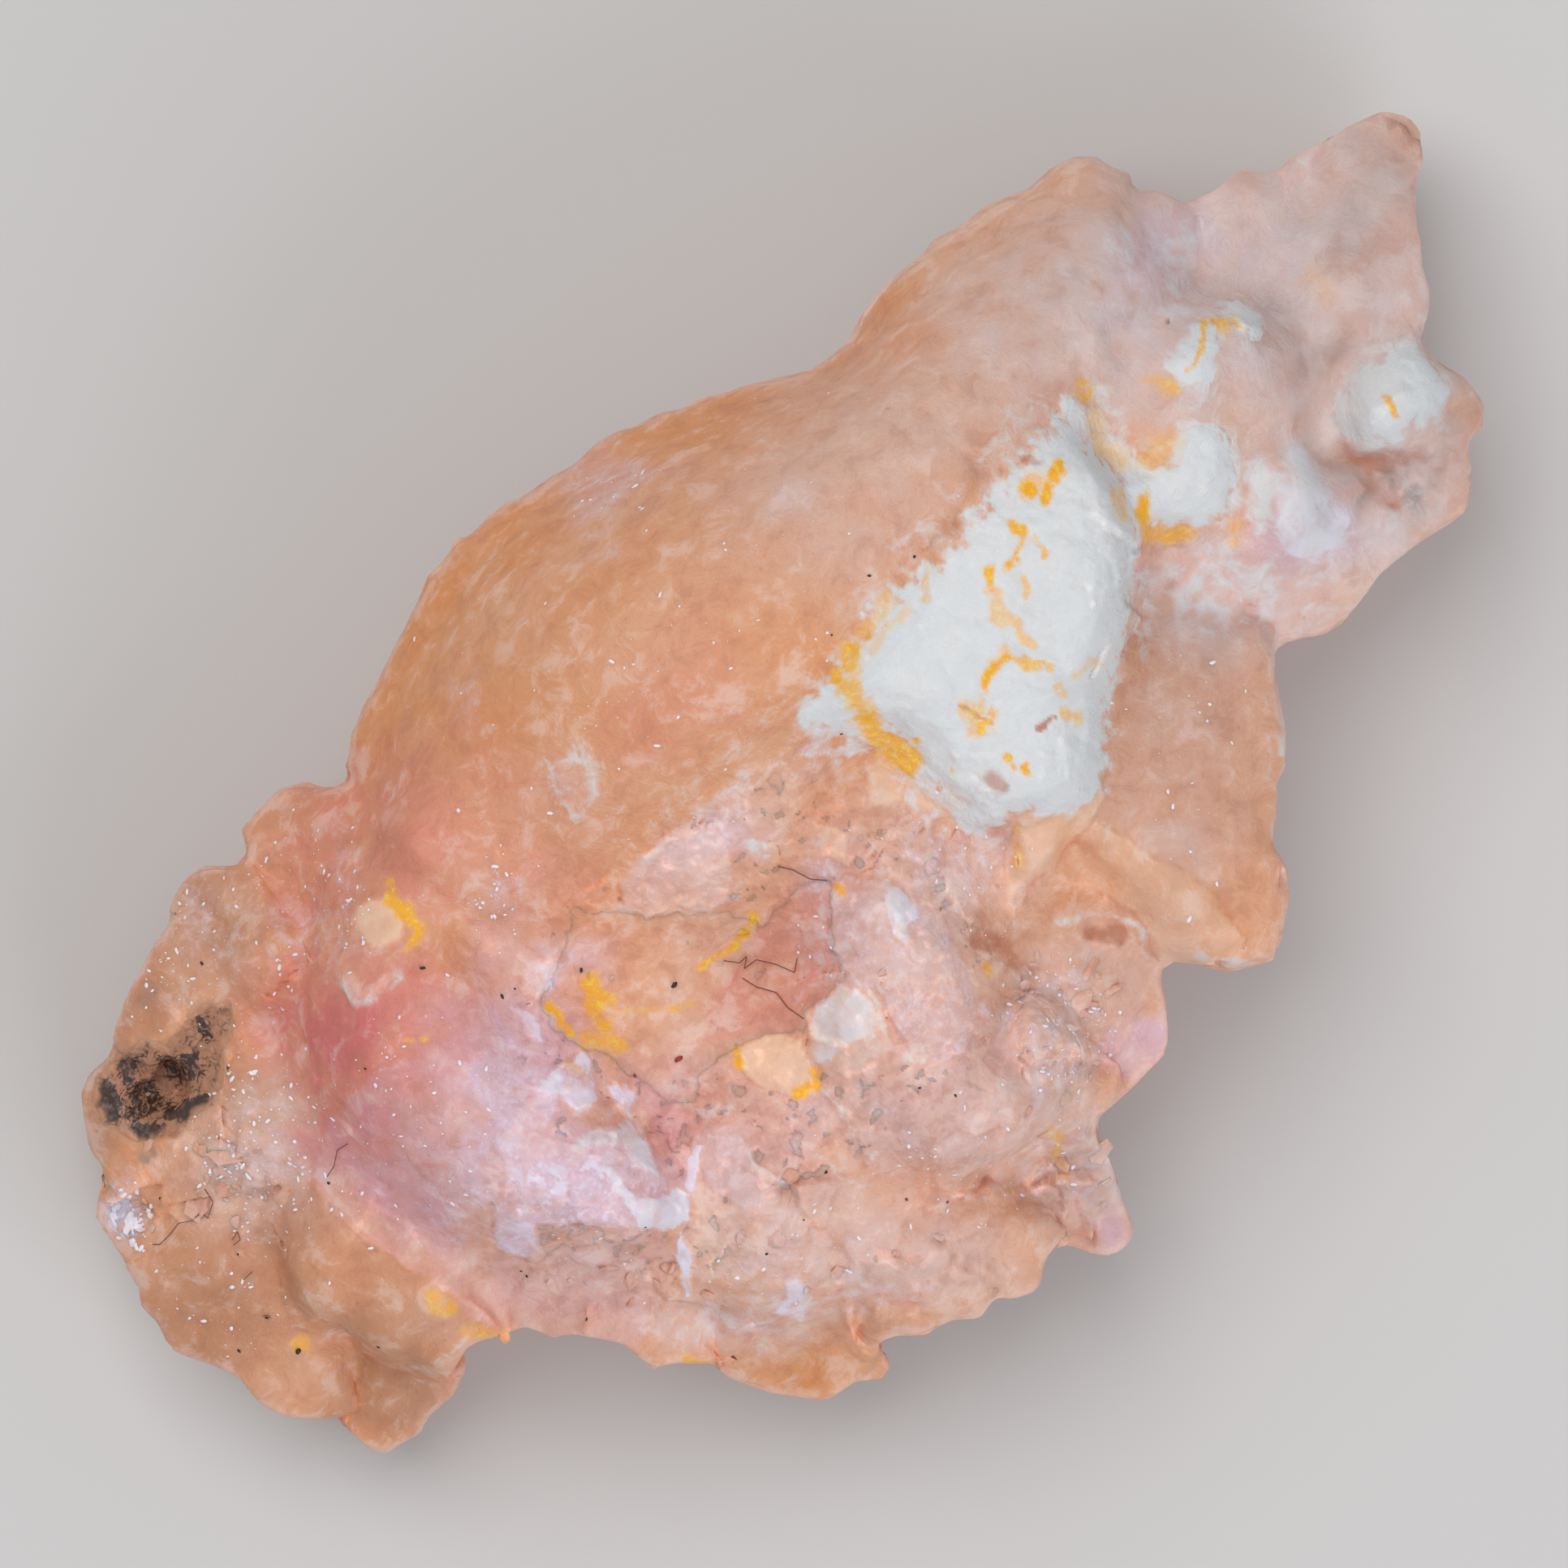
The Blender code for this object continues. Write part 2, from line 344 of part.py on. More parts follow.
def crust(collection):
    """The opaque white crust over the broken ridge, and the cream wedge below it."""
    lump("white_crust", [
        (25.7, 10.5), (26.3, 10.5), (26.7, 11.2), (27.6, 12.0), (27.9, 12.8), (27.9, 14.0), (27.7, 15.2),
        (27.6, 16.0), (27.3, 16.8), (27.1, 18.4), (27.0, 19.2), (26.8, 19.7), (26.2, 20.0), (25.4, 20.0),
        (24.5, 20.4), (23.9, 20.5), (23.5, 20.2), (23.7, 19.9), (23.3, 19.5), (22.8, 19.2), (22.4, 18.6),
        (22.0, 18.0), (21.2, 17.8), (20.4, 18.0), (19.7, 18.0), (20.2, 17.1), (20.1, 16.7), (20.6, 16.0),
        (21.4, 14.8), (22.6, 13.8), (23.8, 12.4), (24.6, 11.2),
    ], [(26.0, 12.0, CRUST_TOP - 0.2), (24.6, 14.6, CRUST_TOP), (23.6, 17.0, CRUST_TOP - 0.9),
        (24.8, 19.0, CRUST_TOP - 2.2)], CRUST_TOP - 3.2, 4.6, TABULAR, collection=collection)
    lump("crust_boss", [
        (25.6, 12.4), (26.8, 12.6), (27.2, 14.2), (27.0, 16.2), (26.4, 17.6), (25.4, 17.0), (25.2, 15.0),
        (25.0, 13.4),
    ], [(26.0, 14.0, CRUST_TOP + 0.1), (26.1, 16.2, CRUST_TOP - 0.7)], CRUST_TOP - 1.6, 8.0, KNOBBED,
        collection=collection)
    lump("crust_shoulder", [
        (21.2, 15.6), (22.4, 14.2), (23.6, 14.4), (23.9, 16.2), (23.4, 18.0), (22.2, 18.0), (21.0, 17.4),
    ], [(22.7, 16.2, CRUST_TOP - 0.5)], CRUST_TOP - 1.9, 8.0, KNOBBED, collection=collection)
    lump("crust_toe", [
        (23.8, 18.6), (25.4, 18.2), (26.8, 18.2), (26.9, 19.2), (26.2, 19.9), (24.9, 20.0), (24.2, 19.6),
    ], [(25.6, 18.9, CRUST_TOP - 1.3)], CRUST_TOP - 2.4, 8.0, KNOBBED, collection=collection)
    lump("cream_wedge", [
        (25.0, 20.0), (26.0, 19.6), (27.0, 19.2), (27.1, 19.7), (26.6, 20.4), (26.0, 21.0), (25.8, 21.6),
        (25.3, 21.7), (24.9, 22.4), (24.7, 21.8), (24.8, 20.8),
    ], [(25.7, 20.4, SHELF_TOP + 0.8)], SHELF_TOP - 0.8, 5.0, TABULAR, collection=collection)


def far_mass(collection):
    """The rough mass beyond the crust, with its pointed tip."""
    lump("far_block", [
        (36.2, 11.2), (36.3, 11.8), (36.2, 12.4), (36.0, 12.8), (35.1, 13.4), (34.2, 14.0), (33.9, 14.4),
        (33.4, 15.0), (33.0, 15.5), (32.6, 15.7), (32.0, 15.8), (31.4, 16.0), (30.0, 15.6), (28.4, 15.2),
        (27.8, 14.0), (28.0, 12.4), (29.6, 11.2), (32.0, 10.4), (34.4, 10.4),
    ], [(29.8, 13.2, SHELF_TOP - 0.4), (33.0, 12.8, SHELF_TOP - 1.6), (34.6, 12.2, SHELF_TOP - 2.4)],
        3.7, 1.5, ROUNDED, collection=collection)
    lump("far_corner", [
        (35.0, 8.6), (35.4, 8.9), (36.0, 9.2), (36.5, 9.8), (36.6, 10.2), (36.5, 10.7), (36.2, 11.0),
        (36.2, 11.5), (35.2, 12.4), (33.8, 12.2), (32.6, 11.2), (32.4, 9.6), (33.6, 8.4),
    ], [(34.2, 10.2, SHELF_TOP - 1.2)], 3.5, 1.5, ROUNDED, collection=collection)
    lump("far_shoulder", [
        (34.9, 5.0), (34.8, 5.7), (35.0, 6.2), (35.0, 6.7), (35.2, 7.2), (35.2, 7.6), (35.1, 8.2),
        (35.0, 8.6), (34.0, 9.4), (32.4, 9.0), (31.4, 7.6), (31.4, 5.6), (32.8, 4.6),
    ], [(33.2, 6.8, SHELF_TOP - 1.2)], 3.7, 1.6, TABULAR, collection=collection)
    lump("tip_crystal", [
        (31.7, 3.9), (32.1, 3.7), (32.7, 3.4), (33.1, 3.1), (33.6, 2.9), (34.0, 2.7), (34.6, 2.8),
        (34.9, 3.1), (35.1, 3.4), (35.2, 4.0), (35.0, 4.5), (34.9, 5.0), (34.4, 6.0), (32.8, 6.4),
        (31.8, 5.8), (31.4, 4.6),
    ], [(33.2, 4.7, SHELF_TOP - 2.2), (34.2, 3.7, SHELF_TOP - 3.6)], 3.1, 1.2, POINTED, collection=collection)
    lump("far_lobe", [
        (29.2, 5.1), (29.6, 4.9), (30.0, 4.7), (30.2, 4.3), (30.5, 4.1), (30.9, 4.2), (31.2, 4.3),
        (31.5, 4.2), (31.9, 4.8), (32.0, 6.4), (30.8, 7.6), (29.2, 7.4), (28.6, 6.0),
    ], [(30.6, 5.9, SHELF_TOP - 1.6)], 3.9, 1.7, ROUNDED, collection=collection)
    lump("dome_end_lobe", [
        (27.9, 4.8), (28.1, 4.7), (28.4, 4.7), (28.7, 4.8), (29.0, 5.0), (29.3, 5.1), (29.6, 6.4),
        (28.8, 7.6), (27.4, 7.2), (27.0, 5.8),
    ], [(28.2, 6.2, SHELF_TOP - 0.6)], 4.3, 2.1, ROUNDED, collection=collection)
    lump("far_saddle", [
        (23.6, 6.8), (28.2, 5.4), (31.6, 6.6), (32.8, 10.4), (30.8, 13.2), (27.4, 13.8), (24.6, 12.8),
        (22.4, 10.4),
    ], [(26.2, 9.2, SHELF_TOP + 1.8), (29.8, 9.8, SHELF_TOP + 0.4)], 4.6, 3.2, ROUNDED, collection=collection)
    lump("far_plateau", [
        (27.6, 7.6), (29.0, 6.8), (31.2, 7.0), (32.8, 8.0), (32.8, 10.0), (32.0, 11.2), (30.0, 12.0),
        (28.0, 12.0), (27.0, 10.8), (26.8, 9.2),
    ], [(28.6, 9.0, SHELF_TOP + 1.2), (30.8, 9.4, SHELF_TOP + 0.2)], 5.8, 3.4, ROUNDED,
        collection=collection)


def far_knobs(collection):
    """The white crystals scattered over the far mass."""
    lump("bridge_knob", [
        (28.9, 10.8), (29.5, 10.6), (30.1, 10.8), (30.3, 11.8), (30.2, 12.8), (29.4, 13.1), (28.6, 12.9),
        (27.8, 13.0), (27.7, 12.2), (28.6, 11.8),
    ], [(29.3, 12.0, SHELF_TOP + 1.2)], SHELF_TOP - 0.6, 5.4, KNOBBED, collection=collection)
    lump("corner_knob", [
        (32.6, 10.4), (33.2, 9.4), (34.0, 8.6), (34.8, 8.8), (35.4, 9.5), (35.6, 10.1), (35.0, 10.6),
        (34.2, 11.1), (33.2, 11.2),
    ], [(34.2, 9.9, SHELF_TOP + 0.2)], SHELF_TOP - 1.4, 5.0, KNOBBED, collection=collection)
    lump("frosted_knob", [
        (30.5, 11.4), (31.2, 10.9), (31.8, 10.8), (32.2, 11.6), (32.8, 12.2), (33.1, 13.0), (32.4, 13.8),
        (31.4, 13.8), (30.6, 13.3),
    ], [(31.7, 12.4, SHELF_TOP + 0.2)], SHELF_TOP - 1.4, 5.0, KNOBBED, collection=collection)
    lump("slanting_knob", [
        (29.9, 7.5), (30.5, 7.4), (31.0, 8.0), (31.0, 8.6), (30.5, 8.7), (30.0, 8.1),
    ], [(30.5, 8.0, SHELF_TOP + 1.3)], SHELF_TOP + 0.2, 6.6, KNOBBED, collection=collection)
    lump("plateau_knob", [
        (29.1, 8.0), (29.8, 7.9), (29.8, 8.8), (29.6, 9.7), (29.0, 9.8), (28.5, 9.4), (28.6, 8.8),
    ], [(29.2, 8.9, SHELF_TOP + 1.9)], SHELF_TOP + 0.8, 7.2, KNOBBED, collection=collection)


def scoop(name, centre, reach, turn, collection):
    """A cutter for a broken hollow: a rough ball of flat facets, stretched along three axes and turned in plan."""
    bm = bmesh.new()
    bmesh.ops.create_icosphere(bm, subdivisions=1, radius=1.0)
    for vertex in bm.verts:
        vertex.co *= jitter.uniform(0.86, 1.12)
    stretch = Matrix.Diagonal(Vector(reach) * MM).to_4x4()
    spin = Matrix.Rotation(math.radians(LENGTH_TURN + turn), 4, "Z")
    bm.transform(Matrix.Translation(placed(*centre)) @ spin @ stretch)
    mesh = bpy.data.meshes.new(name)
    bm.to_mesh(mesh)
    bm.free()
    collection.objects.link(bpy.data.objects.new(name, mesh))


def hollows(collection):
    """The recess, and the pits broken into the crust and the crystals."""
    scoop("recess_left", (15.2, 24.0, 10.6), (3.2, 1.9, 3.0), 12, collection)
    scoop("recess_right", (18.3, 23.9, 10.6), (2.1, 2.3, 3.2), 0, collection)
    scoop("recess_deep_corner", (16.6, 27.2, 10.6), (1.5, 2.3, 3.3), 30, collection)
    scoop("crust_hole", (24.4, 19.1, CRUST_TOP - 1.0), (0.7, 0.5, 1.0), 40, collection)
    scoop("crust_stain_pit", (24.1, 17.5, CRUST_TOP - 0.6), (0.7, 0.6, 0.8), -20, collection)
    scoop("crust_trough", (24.6, 14.9, CRUST_TOP + 0.2), (0.6, 2.0, 0.9), -12, collection)
    scoop("crust_upper_pit", (25.4, 12.2, CRUST_TOP + 0.1), (0.8, 0.5, 0.9), 25, collection)
    scoop("blunt_crystal_pocket", (27.0, 22.9, SHELF_TOP - 0.4), (1.2, 0.6, 1.2), 15, collection)
    scoop("blunt_crystal_side_pocket", (24.4, 23.2, SHELF_TOP + 0.6), (0.8, 0.5, 1.2), 60, collection)
    scoop("corner_crystal_pocket", (26.8, 30.2, FRINGE_TOP - 1.0), (0.7, 0.4, 0.9), 0, collection)
    scoop("clear_crystal_mouth", (3.8, 26.8, FRINGE_TOP - 0.2), (1.2, 0.9, 1.3), 20, collection)
    scoop("far_mottled_pocket", (34.1, 12.0, SHELF_TOP - 1.2), (1.3, 0.8, 1.2), 0, collection)
    scoop("sparkle_hollow", (24.2, 29.2, FRINGE_TOP + 1.6), (1.0, 0.6, 0.9), 30, collection)


def rose_quartz():
    """The stone's own material: translucent rose."""
    material = bpy.data.materials.new("rose_quartz")
    material.use_nodes = True
    shader = material.node_tree.nodes["Principled BSDF"]
    shader.inputs["Base Color"].default_value = ROSE
    shader.inputs["Roughness"].default_value = ROUGHNESS
    shader.inputs["Metallic"].default_value = 0.0
    return material


def new_collection(name):
    """A collection of its own in the scene."""
    collection = bpy.data.collections.new(name)
    bpy.context.scene.collection.children.link(collection)
    return collection


def combine(body, operation, collection):
    """Join a whole collection to the body, or cut it out of the body."""
    boolean = body.modifiers.new(operation.lower(), "BOOLEAN")
    boolean.operation = operation
    boolean.solver = "EXACT"
    boolean.operand_type = "COLLECTION"
    boolean.collection = collection
    for tool in collection.objects:
        tool.hide_render = True
        tool.display_type = "WIRE"


def main():
    for leftover in list(bpy.data.objects):
        bpy.data.objects.remove(leftover)
    jitter.seed(7)
    part = new_collection("rose_quartz_cluster")
    growths = new_collection("growths_to_join")
    cutters = new_collection("hollows_to_cut")
    body = bed(part)
    for build in (
        lower_bed, dome, left_lobes, lower_left_lobes, pink_mound, recess, flake_mass,
        bottom_edge, right_edge, crust, far_mass, far_knobs,
    ):
        build(growths)
    hollows(cutters)
    combine(body, "UNION", growths)
    combine(body, "DIFFERENCE", cutters)
    flatten = body.modifiers.new("flatten", "DECIMATE")
    flatten.decimate_type = "DISSOLVE"
    flatten.angle_limit = math.radians(FLAT_ANGLE)
    body.data.materials.append(rose_quartz())


main()
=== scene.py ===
"""The looks of a crystallised rose quartz cluster, laid out as an add-on and run as a script.

The stone, its white crust, its flakes, its clear crystals and the dust on it are separate pieces that ride
on the part's one body and stand for its one solid. They are drawn in sheet millimetres: x to the right and
y down on a drawing sheet that shows the cluster from above, z up from the surface it lies on.
"""

import math
import random

import bmesh
import bpy
import numpy as np
from bpy.props import FloatProperty, FloatVectorProperty, IntProperty, PointerProperty
from mathutils import Matrix, Vector, noise
from mathutils.bvhtree import BVHTree
from mathutils.kdtree import KDTree


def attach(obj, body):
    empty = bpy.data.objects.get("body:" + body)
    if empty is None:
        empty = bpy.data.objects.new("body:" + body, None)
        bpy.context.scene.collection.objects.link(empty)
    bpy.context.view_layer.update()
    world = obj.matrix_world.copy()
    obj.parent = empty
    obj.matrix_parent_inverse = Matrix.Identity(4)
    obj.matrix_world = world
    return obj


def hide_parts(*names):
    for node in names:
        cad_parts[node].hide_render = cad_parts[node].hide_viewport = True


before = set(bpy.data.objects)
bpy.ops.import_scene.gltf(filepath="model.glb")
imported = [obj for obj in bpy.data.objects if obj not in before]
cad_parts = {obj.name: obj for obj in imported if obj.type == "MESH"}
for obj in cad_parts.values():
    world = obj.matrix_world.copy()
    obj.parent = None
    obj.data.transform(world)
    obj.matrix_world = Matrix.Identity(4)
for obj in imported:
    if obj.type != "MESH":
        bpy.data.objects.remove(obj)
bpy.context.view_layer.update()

bl_info = {
    "name": "Rose Quartz Cluster",
    "version": (1, 0, 0),
    "blender": (4, 5, 0),
    "location": "3D View > Sidebar > Quartz",
    "description": "Dresses the rose quartz cluster: stone, crust, flakes, clear crystals and dust",
    "category": "Object",
}

MM = 0.001
NODE = "rose_quartz_cluster"
BODY = "root"
SHEET_CENTRE = (21.4, 20.3)             # the sheet point over the part's origin
SHEET_MIDDLE = (19.32, 19.32)           # the middle of the sheet, where the camera looks
SHEET_SIDE = 38.64                      # the sheet is this many millimetres square
LENGTH_TURN = math.radians(-42.0)       # from the sheet's right-hand direction to the part's +X
GIRDLE_HEIGHT = 4.0                     # about where the cluster is widest
SHARD_TURN = math.radians(35.0)         # the grain of the broken ground runs up to the right
SHARD_STRETCH = 1.5                     # and its shards are this much longer along it
SHARD_CELLS = (1.5, 0.6, 0.25)          # widths of large, middling and small shards
EDGE_WANDER = 0.12                      # how far drawn outlines wander
EDGE_LUMPS = 0.55                       # and over what length
RESTING_HEIGHT = 0.25                   # what lies below this is the flat that the cluster rests on
WORN_ROUNDS, MELTED_ROUNDS, LEVELLED_ROUNDS = 30, 100, 500
DROP_HEIGHT = 0.03                      # metres, above the whole cluster
MERGED = 0.000001                       # metres between points that are one
LINT_MERGED = 0.0000005
LINT_LIFT = 0.08                        # the middle of a fibre above the stone
QUARTZ_IOR = 1.54
PALE_CLOUDS = (0.76, 0.46, 0.32)
# the light-veil colour also paints the glow along the thin rim
LIGHT_VEILS_AND_EDGE_GLOW = (0.95, 0.78, 0.72)
DARK_VEILS = (0.42, 0.14, 0.08)
BRIGHT_GOLD = (0.88, 0.56, 0.04)
TAN_THREADS = (0.44, 0.20, 0.11)
TAN_EDGE = (0.56, 0.27, 0.15)
LINT_COLOUR = (0.16, 0.05, 0.04)
# near-white of the painted glints, flecks that stand in for highlights
PAINTED_GLINT_COLOUR = (0.86, 0.83, 0.9)
FLOOR_COLOUR = (0.62, 0.61, 0.60)
FLOOR_SIZE = 1.5                        # metres
ROOM_COLOUR = (0.92, 0.95, 1.0, 1.0)
ROOM_STRENGTH = 0.42
KEY_OFFSET = (-110, -140, 330)          # from the middle of the sheet: up and to the left
FILL_OFFSET = (150, 210, 150)           # low and to the right
LENS = 300.0
SENSOR_WIDTH = 36.0
STONE = "quartz_stone"


# ---------------------------------------------------------------- sheet and part coordinates

def to_sheet(points):
    """Points in the part's frame, in metres, as sheet millimetres."""
    x, y, z = (np.asarray(points, float) / MM).T
    cos, sin = math.cos(LENGTH_TURN), math.sin(LENGTH_TURN)
    return np.column_stack((SHEET_CENTRE[0] + cos * x + sin * y, SHEET_CENTRE[1] + sin * x - cos * y, z))


def to_part(sheet):
    """Sheet millimetres as points in the part's frame, in metres."""
    x, y, z = np.asarray(sheet, float).T
    x, y = x - SHEET_CENTRE[0], SHEET_CENTRE[1] - y
    cos, sin = math.cos(LENGTH_TURN), math.sin(LENGTH_TURN)
    return np.column_stack((cos * x - sin * y, sin * x + cos * y, z)) * MM


def read_points(mesh):
    """A mesh's vertices as an array, in metres."""
    flat = np.empty(len(mesh.vertices) * 3, np.float32)
    mesh.vertices.foreach_get("co", flat)
    return flat.reshape(-1, 3).astype(float)


def write_points(mesh, points):
    """Move a mesh's vertices."""
    mesh.vertices.foreach_set("co", np.asarray(points, np.float32).ravel())
    mesh.update()


def read_normals(mesh):
    """A mesh's vertex normals as an array."""
    flat = np.empty(len(mesh.vertices) * 3, np.float32)
    mesh.vertex_normals.foreach_get("vector", flat)
    return flat.reshape(-1, 3).astype(float)


def read_edges(mesh):
    """A mesh's edges as pairs of vertex numbers."""
    flat = np.empty(len(mesh.edges) * 2, np.int32)
    mesh.edges.foreach_get("vertices", flat)
    return flat.reshape(-1, 2)


# ---------------------------------------------------------------- fields over the sheet

def smooth(value, low, high):
    """A soft step from 0 at low to 1 at high."""
    share = np.clip((value - low) / (high - low), 0.0, 1.0)
    return share * share * (3.0 - 2.0 * share)


def path_distance(sheet, path, closed=False):
    """The distance in plan from every point to a line through the path's points."""
    corners = np.array(path, float)
    ends = np.roll(corners, -1, axis=0) if closed else corners[1:]
    best = np.full(len(sheet), np.inf)
    for start, end in zip(corners, ends):
        along = end - start
        offset = sheet[:, :2] - start
        share = np.clip(offset @ along / max(along @ along, 1e-9), 0.0, 1.0)
        best = np.minimum(best, np.hypot(*(offset - share[:, None] * along).T))
    return best


def inside_distance(sheet, outline):
    """The distance in plan from every point to a closed outline, positive inside it."""
    corners = np.array(outline, float)
    low, high = corners.min(0) - 1.0, corners.max(0) + 1.0
    near = np.all((sheet[:, :2] > low) & (sheet[:, :2] < high), axis=1)
    result = np.full(len(sheet), -1.0)
    points = sheet[near]
    inside = np.zeros(len(points), bool)
    x, y = points[:, 0], points[:, 1]
    for (x0, y0), (x1, y1) in zip(corners, np.roll(corners, -1, axis=0)):
        crosses = (y0 > y) != (y1 > y)
        inside ^= crosses & (x < (x1 - x0) * (y - y0) / (y1 - y0 + 1e-12) + x0)
    away = path_distance(points, outline, closed=True)
    result[near] = np.where(inside, away, -away)
    return result


def spots(sheet, listed):
    """The strongest of several soft ovals (x, y, half length, half width, turn, strength) at every point."""
    result = np.zeros(len(sheet))
    for x, y, length, width, turn, strength in listed:
        cos, sin = math.cos(math.radians(turn)), math.sin(math.radians(turn))
        dx, dy = sheet[:, 0] - x, sheet[:, 1] - y
        reach = np.hypot((cos * dx - sin * dy) / length, (sin * dx + cos * dy) / width)
        result = np.maximum(result, strength * (1.0 - smooth(reach, 0.35, 1.5)))
    return result


def fractal(sheet, size, seed=0.0, octaves=3):
    """Fractal noise of about -1 to 1 whose largest lumps are size millimetres across."""
    offset = Vector((seed * 3.1, seed * 1.7, seed * 2.3))
    return np.array([
        noise.fractal(Vector(point) / size + offset, 0.9, 2.0, octaves) for point in sheet
    ])


def wandering(sheet, reach, size, seed):
    """The sheet points shifted in plan by noise, so that what is drawn through them gets a natural edge."""
    moved = sheet.copy()
    moved[:, 0] += reach * fractal(sheet, size, seed, 4)
    moved[:, 1] += reach * fractal(sheet, size, seed + 50, 4)
    return moved


def shards(sheet, cell, seed):
    """Split the sheet in plan into slanting shards about cell millimetres wide.

    Returns each point's offset from the middle of its shard and that shard's three random numbers, -1 to 1.
    """
    dice = np.random.default_rng(seed)
    count = int((SHEET_SIDE / cell) ** 2)
    middles = dice.uniform(0.0, SHEET_SIDE, (count, 2))
    numbers = dice.uniform(-1.0, 1.0, (count, 3))
    cos, sin = math.cos(SHARD_TURN), math.sin(SHARD_TURN)

    def slanted(plan):
        x, y = plan[:, 0], plan[:, 1]
        along = (cos * x - sin * y) / SHARD_STRETCH
        return np.column_stack((along, sin * x + cos * y, np.zeros(len(plan))))

    tree = KDTree(count)
    for i, place in enumerate(slanted(middles)):
        tree.insert(place, i)
    tree.balance()
    nearest = np.array([tree.find(place)[1] for place in slanted(sheet)])
    return sheet[:, :2] - middles[nearest], numbers[nearest]


def shard_relief(sheet, cell, tilt, step, seed):
    """Flat breaks, each tilted its own way and standing a step up or down, in millimetres."""
    offset, numbers = shards(sheet, cell, seed)
    return tilt * np.einsum("ij,ij->i", offset, numbers[:, :2]) + step * numbers[:, 2]


def relax(points, edges, share, rounds):
    """Draw every point towards the mean of its neighbours by its own share, round after round."""
    edges = edges[(share[edges] > 0.001).any(axis=1)]
    first, second = edges.T
    count = len(points)
    valence = np.maximum(np.bincount(first, minlength=count) + np.bincount(second, minlength=count), 1)
    for _ in range(rounds):
        total = np.column_stack([
            np.bincount(first, points[second, k], count) + np.bincount(second, points[first, k], count)
            for k in range(3)
        ])
        points = points + share[:, None] * (total / valence[:, None] - points)
    return points


# ---------------------------------------------------------------- drawn outlines, in sheet millimetres

